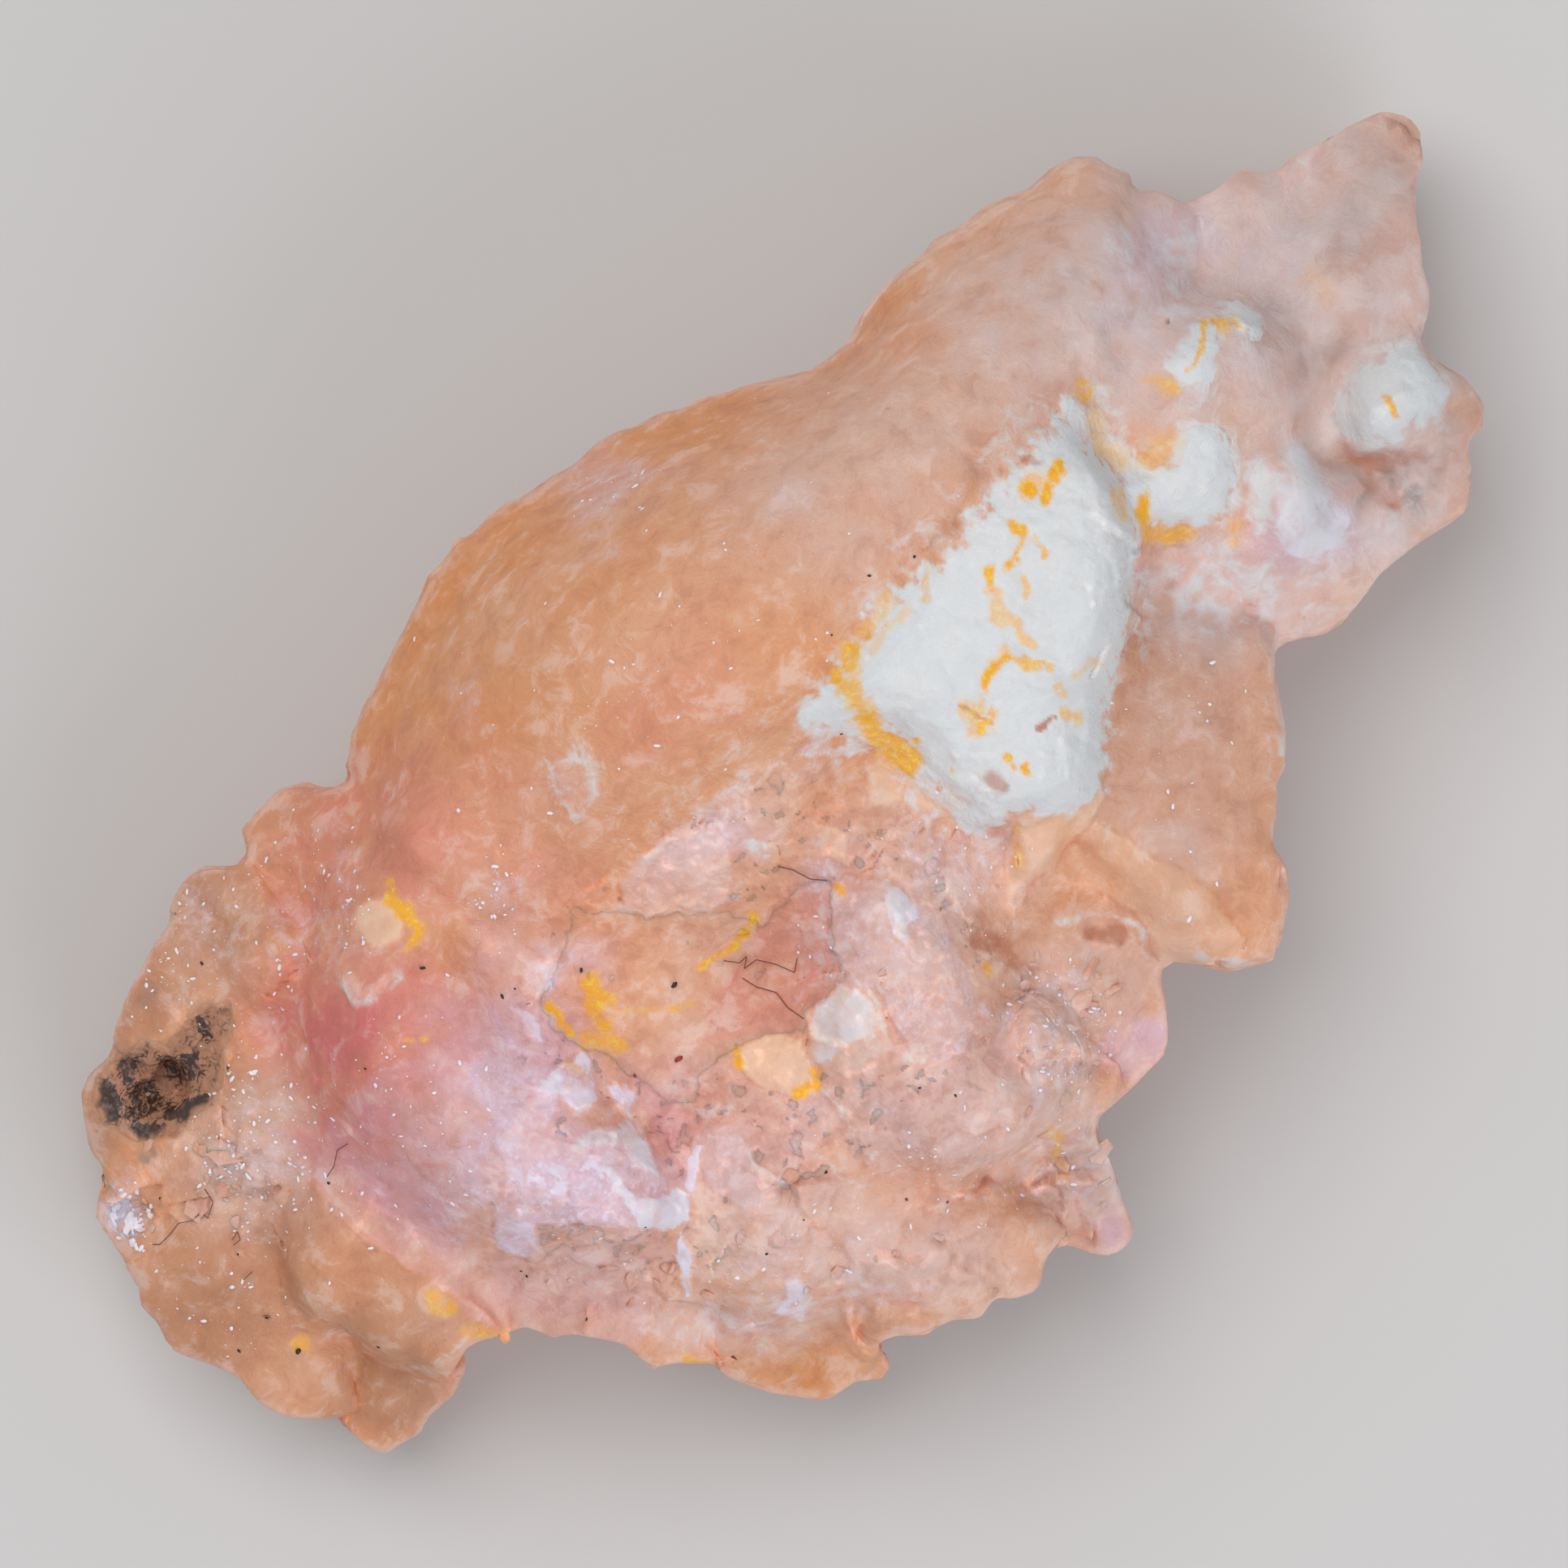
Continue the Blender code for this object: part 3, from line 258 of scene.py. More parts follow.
RIM = [
    (8.6, 19.2), (8.5, 18.9), (8.6, 18.6), (8.6, 18.3), (8.7, 18.0), (9.0, 17.3), (9.4, 16.6), (9.8, 15.8),
    (10.0, 15.4), (10.4, 14.6), (10.5, 14.3), (10.6, 14.1), (10.8, 14.0), (11.0, 13.7), (11.1, 13.5),
    (11.2, 13.3), (11.4, 13.2), (11.7, 13.0), (12.0, 12.7), (12.3, 12.4), (13.0, 12.1), (13.6, 11.7),
    (14.1, 11.5), (14.6, 11.0), (15.0, 10.7), (15.2, 10.6), (15.8, 10.4), (16.1, 10.2), (16.8, 10.0),
    (17.0, 9.9), (17.5, 9.7), (18.0, 9.6), (18.2, 9.5), (18.5, 9.4), (19.6, 9.2), (20.1, 9.0), (20.5, 8.7),
    (20.9, 8.4), (21.1, 7.9), (21.4, 7.5), (21.9, 6.9), (22.7, 6.3), (22.9, 6.0), (23.8, 5.5),
    (24.1, 5.2), (24.5, 5.0), (25.0, 4.8), (25.3, 4.7), (25.6, 4.4), (25.8, 4.2), (26.4, 3.9), (26.7, 3.9),
    (27.0, 3.9), (27.4, 4.2), (27.8, 4.3), (27.9, 4.5), (27.9, 4.8), (28.1, 4.7), (28.4, 4.7),
    (28.7, 4.8), (29.2, 5.1), (29.4, 4.9), (29.7, 4.8), (30.0, 4.6), (30.2, 4.2), (30.5, 4.1),
    (30.8, 4.2), (31.1, 4.3), (31.5, 4.1), (31.8, 3.8), (32.1, 3.7), (33.0, 3.2), (33.8, 2.8), (34.0, 2.7),
    (34.6, 2.8), (35.0, 3.1), (35.1, 3.6), (35.1, 4.0), (34.9, 4.8), (34.9, 5.7), (35.0, 6.1), (35.0, 6.6),
    (35.2, 7.2), (35.2, 7.6), (35.1, 8.2), (35.0, 8.6), (35.4, 8.9), (36.0, 9.2), (36.5, 9.8),
    (36.6, 10.2), (36.6, 10.6), (36.2, 10.9), (36.2, 11.2), (36.3, 11.6), (36.3, 12.1), (36.2, 12.5),
    (36.0, 12.8), (35.0, 13.4), (34.2, 14.0), (34.0, 14.2), (33.4, 15.0), (33.1, 15.4), (32.6, 15.7),
    (32.0, 15.8), (31.4, 16.0), (31.4, 16.6), (31.7, 18.1), (31.7, 18.9), (31.5, 19.3), (31.5, 20.1),
    (31.3, 20.7), (31.5, 21.0), (31.7, 21.4), (31.8, 22.1), (31.7, 22.8), (31.5, 23.3), (31.4, 23.7),
    (31.0, 23.8), (30.2, 24.0), (29.5, 23.8), (28.7, 23.7), (28.6, 24.1), (28.8, 25.0), (28.8, 25.6),
    (28.7, 26.0), (28.0, 26.7), (27.0, 27.6), (27.1, 27.8), (27.0, 27.9), (27.2, 28.0), (27.5, 28.8),
    (27.7, 29.6), (27.9, 30.0), (28.0, 30.3), (27.9, 30.6), (27.6, 30.9), (27.2, 31.0), (26.8, 30.9),
    (26.3, 30.7), (26.0, 30.8), (25.8, 30.9), (25.7, 31.6), (25.5, 31.9), (24.9, 32.1), (24.5, 32.0),
    (24.2, 32.5), (23.4, 32.5), (22.9, 32.9), (22.4, 32.9), (21.9, 32.9), (21.8, 33.1), (22.0, 33.3),
    (22.0, 33.8), (21.8, 34.1), (21.1, 34.1), (20.4, 34.6), (19.0, 34.4), (17.9, 34.0), (17.4, 33.6),
    (16.5, 33.6), (16.1, 33.8), (15.9, 33.6), (15.3, 33.1), (14.7, 33.0), (14.1, 32.9), (13.6, 33.0),
    (13.0, 32.7), (12.2, 33.0), (11.6, 33.1), (11.5, 33.9), (11.2, 34.5), (10.6, 35.0), (10.4, 35.4),
    (9.5, 36.0), (9.0, 35.9), (8.7, 35.6), (8.2, 35.0), (7.9, 35.1), (7.0, 35.0), (6.4, 34.7), (5.8, 34.0),
    (5.2, 33.7), (4.2, 33.4), (4.0, 33.1), (3.8, 32.6), (3.3, 32.2), (3.4, 31.8), (3.0, 31.2), (3.0, 31.0),
    (2.8, 30.8), (2.3, 30.1), (2.3, 29.6), (2.3, 29.3), (2.6, 29.0), (2.2, 28.3), (2.1, 27.9), (2.0, 26.9),
    (2.2, 26.4), (2.7, 26.0), (2.9, 25.1), (3.3, 24.2), (3.9, 23.1), (4.1, 22.9), (4.2, 22.3), (4.4, 21.8),
    (4.7, 21.5), (5.0, 21.3), (5.8, 21.3), (6.1, 21.1), (5.9, 20.5), (6.1, 20.2), (6.7, 19.6),
    (6.9, 19.4), (7.6, 19.2), (8.0, 19.4), (8.3, 19.3),
]
MAUVE_FLOOR = [
    (18.6, 22.8), (19.2, 22.0), (19.6, 21.65), (20.2, 21.6), (20.5, 22.0), (20.4, 22.8), (20.6, 23.6),
    (20.8, 24.0), (20.3, 24.6), (19.9, 24.8), (19.9, 25.2), (19.0, 25.35), (18.0, 25.5), (17.4, 25.6),
    (17.4, 24.8), (18.0, 24.0),
]
RED_FLOOR = [
    (15.6, 26.4), (16.2, 26.6), (16.9, 27.1), (17.5, 27.5), (17.2, 27.9), (17.2, 28.4), (16.9, 29.0),
    (16.4, 28.7), (16.1, 28.3), (16.0, 27.6), (15.9, 27.0),
]
TAN_LOBES = [
    (6.9, 30.0), (7.0, 30.9), (7.0, 32.0), (7.2, 32.6), (7.8, 32.8), (8.5, 32.7), (8.7, 33.0), (9.0, 33.3),
    (9.5, 33.6), (10.0, 33.7), (10.6, 33.6), (11.2, 33.2), (11.6, 32.8), (12.0, 32.6), (11.6, 32.0),
    (10.4, 31.2), (9.6, 30.6), (8.6, 30.0), (8.2, 29.6), (7.9, 28.9), (7.4, 29.2),
]
AMBER_WEDGE = [
    (25.7, 21.6), (26.9, 20.2), (29.6, 21.8), (30.6, 23.2), (30.4, 23.7), (29.6, 23.8), (28.7, 23.7),
    (28.0, 22.6), (27.2, 22.0),
]
SMOKY_HOLLOW = [
    (2.4, 26.5), (3.0, 25.9), (3.7, 25.6), (4.2, 25.7), (4.7, 25.1), (5.2, 24.7), (5.8, 24.6), (5.9, 25.2),
    (5.6, 25.9), (5.6, 26.6), (5.4, 27.2), (4.7, 27.6), (4.1, 27.9), (3.5, 28.2), (3.1, 27.9), (2.6, 27.7),
    (2.35, 27.2),
]
# Dark bodies within the smoky crystal: (outline, strength).
SMOKY_BODIES = [
    ([(2.55, 26.5), (2.95, 26.7), (3.02, 27.2), (2.95, 27.65), (2.7, 27.6), (2.42, 27.2)], 1.0),
    ([(2.95, 26.0), (3.3, 25.8), (3.7, 25.7), (3.85, 25.9), (3.4, 26.1), (3.35, 26.6), (3.2, 26.9),
      (3.05, 26.4)], 0.85),
    ([(3.3, 26.6), (3.8, 26.6), (4.1, 27.1), (4.0, 27.5), (3.3, 27.6), (3.0, 27.5), (3.3, 27.1)], 0.7),
    ([(4.0, 26.0), (4.9, 25.9), (5.1, 26.5), (4.5, 26.7), (4.1, 26.3)], 0.75),
    ([(4.1, 27.3), (4.9, 27.0), (5.4, 26.9), (5.3, 27.3), (4.7, 27.5), (4.1, 27.6)], 0.95),
    ([(3.2, 27.7), (3.9, 27.6), (4.1, 27.85), (3.6, 28.1), (3.3, 28.1)], 1.1),
    ([(5.0, 25.0), (5.2, 25.1), (5.4, 25.6), (5.1, 25.5)], 0.7),
]

WHITE_CRUST = [
    (25.7, 10.5), (26.3, 10.5), (26.7, 11.2), (27.6, 12.0), (27.9, 12.8), (27.9, 14.0), (27.7, 15.2),
    (27.6, 16.0), (27.3, 16.8), (27.2, 17.4), (27.1, 18.4), (27.0, 19.2), (26.8, 19.7), (26.2, 20.0),
    (25.4, 20.0), (24.8, 20.1), (24.5, 20.4), (23.9, 20.5), (23.5, 20.2), (23.7, 19.9), (23.3, 19.5),
    (22.8, 19.2), (22.4, 18.6), (22.0, 18.0), (21.2, 17.8), (20.4, 18.0), (19.7, 18.0), (19.6, 17.6),
    (20.2, 17.1), (20.1, 16.7), (20.6, 16.0), (21.0, 15.6), (21.4, 14.8), (21.8, 14.4), (22.6, 13.8),
    (23.2, 13.3), (23.8, 12.4), (24.2, 11.8), (24.6, 11.2), (25.0, 10.9),
]
SQUARE_KNOB = [
    (28.9, 10.9), (29.2, 10.6), (29.8, 10.6), (30.2, 10.9), (30.3, 11.8), (30.2, 12.8), (29.8, 13.0),
    (29.0, 13.1), (28.4, 13.0), (27.8, 12.8), (27.4, 12.2), (27.8, 11.7), (28.6, 11.5), (28.8, 11.2),
]
SPLINTER_KNOB = [
    (30.6, 11.6), (30.9, 11.2), (31.2, 11.6), (31.2, 12.8), (30.9, 13.3), (30.6, 12.8),
]
FROSTED_KNOB = [
    (31.4, 10.9), (31.8, 10.7), (32.0, 11.2), (32.4, 11.8), (32.8, 12.4), (33.2, 12.8), (33.0, 13.6),
    (32.4, 14.0), (31.7, 13.8), (31.2, 13.2), (31.2, 12.0),
]
OVAL_KNOB = [
    (32.8, 10.0), (33.2, 9.3), (33.8, 8.8), (34.4, 8.6), (35.0, 8.8), (35.4, 9.3), (35.6, 9.8),
    (35.3, 10.3), (34.8, 10.6), (34.3, 11.0), (33.6, 11.1), (33.0, 10.9), (32.6, 10.4),
]
SLANTING_KNOB = [
    (30.0, 7.6), (30.4, 7.4), (30.8, 7.8), (31.0, 8.2), (31.0, 8.6), (30.6, 8.6), (30.2, 8.2), (30.0, 7.8),
]
TALL_KNOB = [
    (29.4, 8.0), (29.8, 8.0), (29.9, 8.8), (29.8, 9.6), (29.4, 9.8), (28.8, 9.7), (28.4, 9.3), (28.8, 8.8),
    (29.1, 8.5), (29.2, 8.1),
]
DOT_KNOB = [
    (26.7, 9.8), (27.0, 9.7), (27.2, 9.8), (27.0, 10.2), (26.8, 10.2), (26.7, 10.0),
]
PALE_FLAKE = [
    (20.7, 21.5), (21.2, 21.6), (21.8, 21.7), (22.4, 22.0), (23.0, 22.4), (23.7, 23.6), (24.0, 24.8),
    (23.8, 25.8), (23.0, 26.0), (22.4, 25.8), (22.0, 25.0), (21.6, 24.3), (21.0, 24.3), (20.7, 23.9),
    (20.5, 23.4), (20.6, 23.1), (20.4, 22.6), (20.5, 21.8),
]
FLAKE_PATCH = [
    (21.7, 22.0), (21.9, 21.75), (22.2, 21.9), (22.5, 22.3), (22.65, 22.6), (22.4, 22.7), (22.45, 23.0),
    (22.1, 23.1), (21.9, 22.8), (21.8, 22.4),
]
WHITE_ROUND = [
    (20.2, 24.7), (20.6, 24.1), (21.0, 24.2), (21.4, 24.6), (21.75, 25.2), (21.95, 25.6), (21.7, 26.0),
    (21.3, 26.3), (20.9, 26.45), (20.4, 26.3), (20.0, 25.9), (19.85, 25.3), (19.8, 24.9),
]
CREAM_PATCH = [
    (18.1, 25.8), (18.5, 25.5), (19.0, 25.4), (19.5, 25.4), (19.8, 25.8), (20.1, 26.4), (20.1, 26.8),
    (19.7, 26.9), (19.1, 26.8), (18.6, 26.6), (18.2, 26.2),
]
SMALL_BIT = [
    (22.2, 25.8), (22.4, 25.6), (22.7, 25.7), (22.8, 25.9), (22.6, 26.1), (22.2, 26.1),
]
PALE_LEDGE = [
    (15.4, 21.7), (16.0, 21.0), (16.6, 20.6), (17.4, 20.4), (18.0, 20.8), (18.1, 21.6), (17.9, 22.2),
    (17.4, 22.4), (16.8, 22.3), (16.3, 22.4), (16.0, 22.6), (15.9, 22.5), (15.5, 22.3),
]
WHITE_FLAKE = [
    (13.2, 26.7), (13.4, 26.6), (13.8, 26.1), (14.2, 26.0), (14.5, 25.7), (14.7, 26.2), (14.8, 26.6),
    (14.7, 27.1), (14.4, 27.2), (13.8, 26.9),
]
# The white-lavender flakes low in the middle, from here to the lavender sheet, are partly frosted stone and
# partly a painted reflection of cool light.
BRIGHT_PATCH = [
    (16.3, 29.25), (16.7, 29.1), (17.0, 29.2), (17.0, 29.9), (16.6, 30.1), (16.1, 30.2), (15.8, 30.0),
    (15.55, 29.6), (15.2, 29.1), (15.0, 28.6), (15.2, 28.5), (15.4, 28.8), (15.7, 29.3), (16.0, 29.4),
]
WHITE_STREAK = [
    (16.8, 30.2), (17.0, 30.6), (17.1, 31.2), (17.1, 31.8), (16.9, 32.0), (16.8, 31.5), (16.7, 30.9),
    (16.7, 30.4),
]
FROST_RIM = [
    (14.1, 28.0), (14.6, 27.7), (15.3, 27.6), (15.8, 27.6), (16.0, 28.0), (16.2, 28.5), (16.2, 28.8),
    (15.8, 28.5), (15.5, 28.1), (14.9, 28.0), (14.3, 28.2),
]
LAVENDER_SHEET = [
    (12.3, 27.9), (13.3, 27.7), (14.2, 28.0), (15.0, 27.6), (15.7, 27.5), (16.0, 28.0), (16.2, 28.7),
    (16.5, 29.1), (16.1, 29.9), (15.4, 30.1), (14.6, 29.9), (13.8, 29.9), (13.3, 30.0), (13.4, 30.6),
    (12.9, 30.8), (12.25, 30.6), (12.3, 29.8), (12.6, 29.0), (12.5, 28.4),
]
MIDDLE_SHEET = [
    (17.2, 27.9), (17.6, 27.5), (18.1, 27.6), (18.5, 28.2), (18.8, 28.8), (19.2, 29.3), (18.4, 29.6),
    (17.6, 29.2), (17.2, 28.6),
]
LEFT_SHEET = [
    (11.6, 26.0), (12.4, 25.9), (13.6, 26.1), (13.9, 27.0), (13.4, 27.8), (12.6, 27.7), (12.1, 27.0),
]
# The sparkling face: its near-white is a painted sparkle of light on small crystal faces.
SPARKLING_FACE = [
    (2.5, 29.6), (2.9, 29.2), (3.4, 29.5), (3.6, 30.0), (3.4, 30.5), (3.0, 30.6), (2.6, 30.2),
]
PALE_STRIP = [
    (12.7, 24.7), (13.1, 24.8), (13.5, 25.1), (13.6, 25.6), (13.2, 25.4), (12.9, 25.0),
]
PALE_BIT = [
    (15.1, 26.6), (15.5, 26.6), (15.7, 26.9), (15.6, 27.2), (15.7, 27.5), (15.3, 27.3), (15.2, 27.0),
]
PALE_CORNER = [
    (13.1, 23.6), (13.9, 23.7), (13.8, 24.3), (13.3, 24.5), (13.0, 24.2),
]
FROST_LEG = [
    (16.95, 28.4), (17.2, 28.0), (17.4, 28.1), (17.2, 28.6), (17.15, 29.2), (16.9, 29.1),
]
ORANGE_PATCH = [
    (14.45, 24.0), (14.9, 24.3), (15.0, 24.9), (15.6, 25.4), (15.3, 25.9), (14.7, 25.6), (14.5, 25.0),
]
ORANGE_WEDGE = [
    (13.4, 30.0), (14.4, 29.95), (15.2, 30.2), (14.8, 30.5), (14.0, 30.5), (13.5, 31.0),
]
CREAM_TONGUE = [
    (21.3, 18.9), (22.2, 18.6), (22.4, 19.2), (23.4, 19.4), (23.8, 20.0), (23.2, 20.2), (22.4, 19.8),
    (21.4, 19.8),
]
CREAM_RIDGE = [
    (20.0, 20.3), (20.6, 20.4), (20.9, 20.6), (20.8, 21.3), (20.4, 21.0), (20.1, 20.7),
]
FROST_SHEET = [
    (12.4, 30.7), (12.3, 30.0), (12.4, 29.3), (12.7, 28.8), (13.2, 28.9), (13.1, 29.5), (13.3, 30.0),
    (13.2, 30.6), (12.8, 30.8),
]
LAVENDER_FLAKE = [
    (19.4, 31.3), (19.7, 31.3), (19.8, 31.6), (20.0, 31.9), (19.8, 32.4), (19.5, 32.4), (19.1, 32.2),
    (19.3, 31.8),
]
LAVENDER_CHIP = [
    (19.3, 30.8), (19.7, 30.8), (19.7, 30.9), (19.3, 30.9),
]
CREAM_DISC = [
    (9.0, 22.3), (9.3, 22.1), (9.7, 22.1), (10.1, 22.3), (10.1, 22.7), (10.0, 23.1), (9.6, 23.3),
    (9.2, 23.2), (9.0, 22.9), (8.9, 22.6),
]
DISC_LIP = [
    (8.6, 24.1), (8.7, 23.8), (8.9, 23.9), (9.1, 24.2), (9.4, 24.2), (9.6, 24.0), (9.9, 23.9), (9.7, 24.2),
    (9.3, 24.6), (9.0, 24.6), (8.8, 24.4),
]
SHIELD = [
    (13.7, 18.8), (14.0, 18.7), (14.5, 18.8), (14.8, 18.9), (14.8, 19.5), (14.5, 20.0), (14.3, 20.3),
    (14.1, 19.9), (13.8, 19.4),
]
CREAM_WEDGE = [
    (25.0, 20.1), (26.0, 19.7), (27.0, 19.2), (27.1, 19.7), (26.6, 20.4), (26.0, 21.0), (25.8, 21.5),
    (25.3, 21.6), (25.0, 21.8), (24.8, 22.4), (24.7, 21.6), (24.8, 20.8),
]
SHELL_BREAK = [
    (21.2, 26.6), (22.2, 26.0), (23.6, 25.8), (24.8, 25.8), (25.8, 26.6), (26.2, 27.4), (25.6, 28.0),
    (24.0, 28.6), (22.4, 29.0), (21.5, 28.4), (20.8, 27.4),
]

WHITE_TOP = [
    (20.2, 24.6), (20.7, 24.1), (21.0, 24.2), (21.4, 24.7), (21.7, 25.2), (21.5, 25.45), (21.0, 25.5),
    (20.7, 25.8), (20.5, 26.1), (20.2, 26.0), (20.0, 25.5), (19.85, 25.1),
]
MIDDLE_FEATHER = 0.3
MIDDLE = [
    (12.6, 24.0), (13.4, 22.2), (15.0, 20.9), (16.6, 20.0), (18.4, 18.8), (20.0, 18.6), (21.6, 19.8),
    (23.6, 21.0), (24.6, 23.0), (24.4, 25.6), (23.4, 27.0), (21.6, 28.6), (19.8, 29.6), (17.8, 31.6),
    (16.4, 32.0), (14.4, 31.4), (12.2, 31.2), (11.6, 29.2), (12.4, 27.4), (12.6, 25.6),
]
PINK_SHEET = [
    (7.8, 29.0), (8.4, 29.8), (9.0, 30.4), (9.6, 30.7), (10.1, 31.1), (11.2, 31.6), (11.5, 32.2),
    (12.2, 32.6),
    (13.4, 33.4), (15.5, 33.6), (16.8, 31.0), (15.0, 28.0), (12.0, 25.6), (9.6, 26.2), (8.2, 27.6),
]
RECESS = [
    (13.4, 24.6), (14.0, 23.2), (14.4, 22.4), (15.6, 22.5), (16.8, 22.5), (17.9, 22.4), (18.8, 22.8),
    (19.7, 21.8), (20.4, 21.7), (20.5, 22.6), (20.7, 23.6), (20.9, 24.1), (20.2, 24.5), (19.8, 25.2),
    (18.9, 25.4), (18.0, 25.8), (17.4, 26.2), (17.2, 27.0), (16.6, 27.0), (15.8, 26.5), (15.0, 25.9),
    (14.3, 25.6), (13.7, 25.2),
]

# Strokes: (path, half width, strength).
GOLD_STAINS = [
    ([(25.1, 12.2), (25.25, 12.35)], 0.17, 1.0),
    ([(25.6, 12.45), (25.75, 12.0), (25.85, 11.75)], 0.14, 1.0),
    ([(25.3, 12.0), (25.55, 12.1)], 0.20, 0.6), ([(24.8, 13.1), (25.1, 13.3)], 0.11, 0.95),
    ([(25.05, 13.4), (24.9, 13.8)], 0.08, 0.9), ([(25.35, 13.45), (25.55, 13.85)], 0.07, 0.8),
    ([(24.65, 14.1), (24.85, 14.0)], 0.12, 1.0), ([(24.2, 14.15), (24.27, 14.65)], 0.12, 0.95),
    ([(25.0, 14.35), (25.1, 14.85)], 0.10, 0.6), ([(24.4, 14.7), (24.45, 15.3), (24.8, 15.6)], 0.15, 0.55),
    ([(24.8, 15.6), (25.3, 15.95)], 0.12, 0.6), ([(24.45, 16.45), (24.6, 16.25)], 0.20, 1.0),
    ([(24.1, 16.95), (24.35, 16.65)], 0.14, 1.0),
    ([(24.75, 16.25), (25.3, 16.45), (25.7, 16.5)], 0.10, 0.8),
    ([(23.8, 17.55), (24.0, 17.9)], 0.28, 0.6), ([(24.35, 17.5), (24.05, 18.05)], 0.10, 0.95),
    ([(26.1, 17.55), (26.35, 17.75)], 0.14, 0.65), ([(25.9, 17.0), (25.95, 17.1)], 0.10, 0.6),
    ([(26.35, 16.7), (26.85, 16.35)], 0.10, 0.4), ([(25.15, 18.9), (25.2, 19.0)], 0.09, 1.0),
    ([(23.3, 18.95), (23.3, 19.05)], 0.06, 1.0), ([(24.75, 18.7), (24.9, 18.95)], 0.08, 0.9),
    ([(21.9, 14.85), (21.3, 15.7), (20.85, 16.4)], 0.18, 0.5), ([(22.3, 15.1), (21.4, 16.1)], 0.12, 0.4),
    ([(20.9, 16.2), (20.8, 16.8), (21.05, 17.35)], 0.28, 0.85), ([(22.75, 14.2), (22.7, 14.95)], 0.10, 0.5),
    ([(21.3, 17.8), (21.8, 18.4), (22.3, 18.8)], 0.30, 0.95), ([(22.3, 18.75), (22.5, 18.4)], 0.12, 0.9),
    ([(26.5, 9.7), (26.6, 9.95)], 0.15, 0.75), ([(26.7, 10.5), (26.95, 11.0), (27.5, 11.5)], 0.20, 0.5),
    ([(28.0, 12.4), (28.05, 12.95)], 0.18, 1.0), ([(27.35, 12.4), (27.5, 12.8)], 0.20, 0.6),
    ([(28.2, 13.25), (28.7, 13.3), (29.2, 13.25)], 0.17, 0.85), ([(28.2, 11.4), (28.7, 11.1)], 0.35, 0.45),
    ([(30.25, 13.0), (30.35, 13.4)], 0.14, 0.6), ([(33.9, 9.9), (34.15, 10.15), (34.25, 10.4)], 0.09, 0.9),
    ([(29.9, 7.95), (30.25, 8.25)], 0.17, 0.95), ([(29.55, 8.1), (29.4, 8.8), (29.1, 9.35)], 0.08, 0.85),
    ([(28.2, 9.5), (28.8, 9.85)], 0.14, 0.8), ([(30.7, 10.65), (30.75, 10.75)], 0.10, 0.7),
    ([(9.8, 22.1), (10.2, 22.45), (10.5, 22.9), (10.3, 23.2)], 0.17, 1.0),
    ([(9.8, 21.75), (9.85, 21.85)], 0.08, 1.0),
    ([(18.6, 22.6), (18.3, 23.0), (18.0, 23.35)], 0.11, 1.0),
    ([(18.0, 23.35), (17.6, 23.55), (17.35, 23.75)], 0.10, 1.0),
    ([(14.6, 24.1), (14.75, 24.7), (15.0, 25.1)], 0.24, 0.9), ([(14.9, 24.45), (15.15, 24.6)], 0.13, 0.8),
    ([(14.9, 24.75), (15.7, 24.85), (16.7, 24.8), (17.1, 24.5)], 0.06, 0.4),
    ([(16.6, 24.75), (16.75, 24.8)], 0.08, 0.9),
    ([(13.6, 24.65), (13.85, 25.05), (14.2, 25.35)], 0.11, 1.0), ([(14.5, 25.5), (15.3, 25.7)], 0.20, 0.7),
    ([(18.15, 25.75), (18.2, 26.1)], 0.11, 0.95),
    ([(19.6, 26.8), (20.15, 26.65), (20.15, 26.3)], 0.13, 1.0),
    ([(20.65, 21.8), (20.75, 21.9)], 0.11, 0.8), ([(14.05, 26.05), (14.4, 26.25)], 0.09, 0.4),
    ([(10.8, 31.9), (11.1, 32.05)], 0.25, 0.75), ([(7.35, 33.1), (7.5, 33.1)], 0.16, 0.7),
    ([(11.6, 32.75), (12.7, 32.85)], 0.14, 0.6), ([(16.9, 33.4), (17.4, 33.5)], 0.14, 1.0),
    ([(25.9, 27.8), (26.2, 29.0)], 0.12, 0.5), ([(24.95, 20.3), (25.0, 21.2)], 0.11, 0.5),
    ([(10.3, 25.5), (10.35, 25.5)], 0.06, 0.9), ([(10.6, 25.5), (10.65, 25.5)], 0.06, 0.9),
    ([(24.2, 23.75), (24.3, 23.9)], 0.10, 0.7), ([(32.4, 6.9), (32.6, 7.4)], 0.30, 0.25),
]
BROWN_CRACKS = [
    ([(25.45, 18.0), (25.65, 17.85), (25.9, 17.75)], 0.06, 0.8),
    ([(23.6, 17.45), (23.95, 17.75)], 0.05, 0.7),
    ([(24.0, 17.8), (24.25, 17.85)], 0.05, 0.7), ([(24.35, 19.15), (24.6, 19.4)], 0.22, 0.6),
    ([(25.8, 29.0), (26.1, 29.3), (26.1, 29.7)], 0.05, 0.4), ([(26.8, 22.9), (27.5, 23.0)], 0.18, 0.7),
    ([(24.1, 23.1), (24.6, 23.2), (24.9, 23.6)], 0.22, 0.6), ([(26.7, 30.1), (26.9, 30.2)], 0.08, 0.5),
    ([(31.8, 6.5), (31.85, 6.6)], 0.12, 0.7), ([(25.1, 11.5), (25.4, 11.6)], 0.10, 0.5),
    ([(22.7, 13.6), (23.6, 13.0)], 0.12, 0.35), ([(32.9, 11.2), (33.6, 11.4), (34.2, 11.2)], 0.16, 0.8),
    ([(33.5, 11.9), (34.2, 12.4)], 0.22, 0.5), ([(33.9, 11.6), (34.9, 11.3)], 0.16, 0.5),
    ([(21.9, 33.1), (21.7, 33.2)], 0.10, 0.9), ([(4.0, 27.9), (4.6, 27.8)], 0.10, 0.7),
]
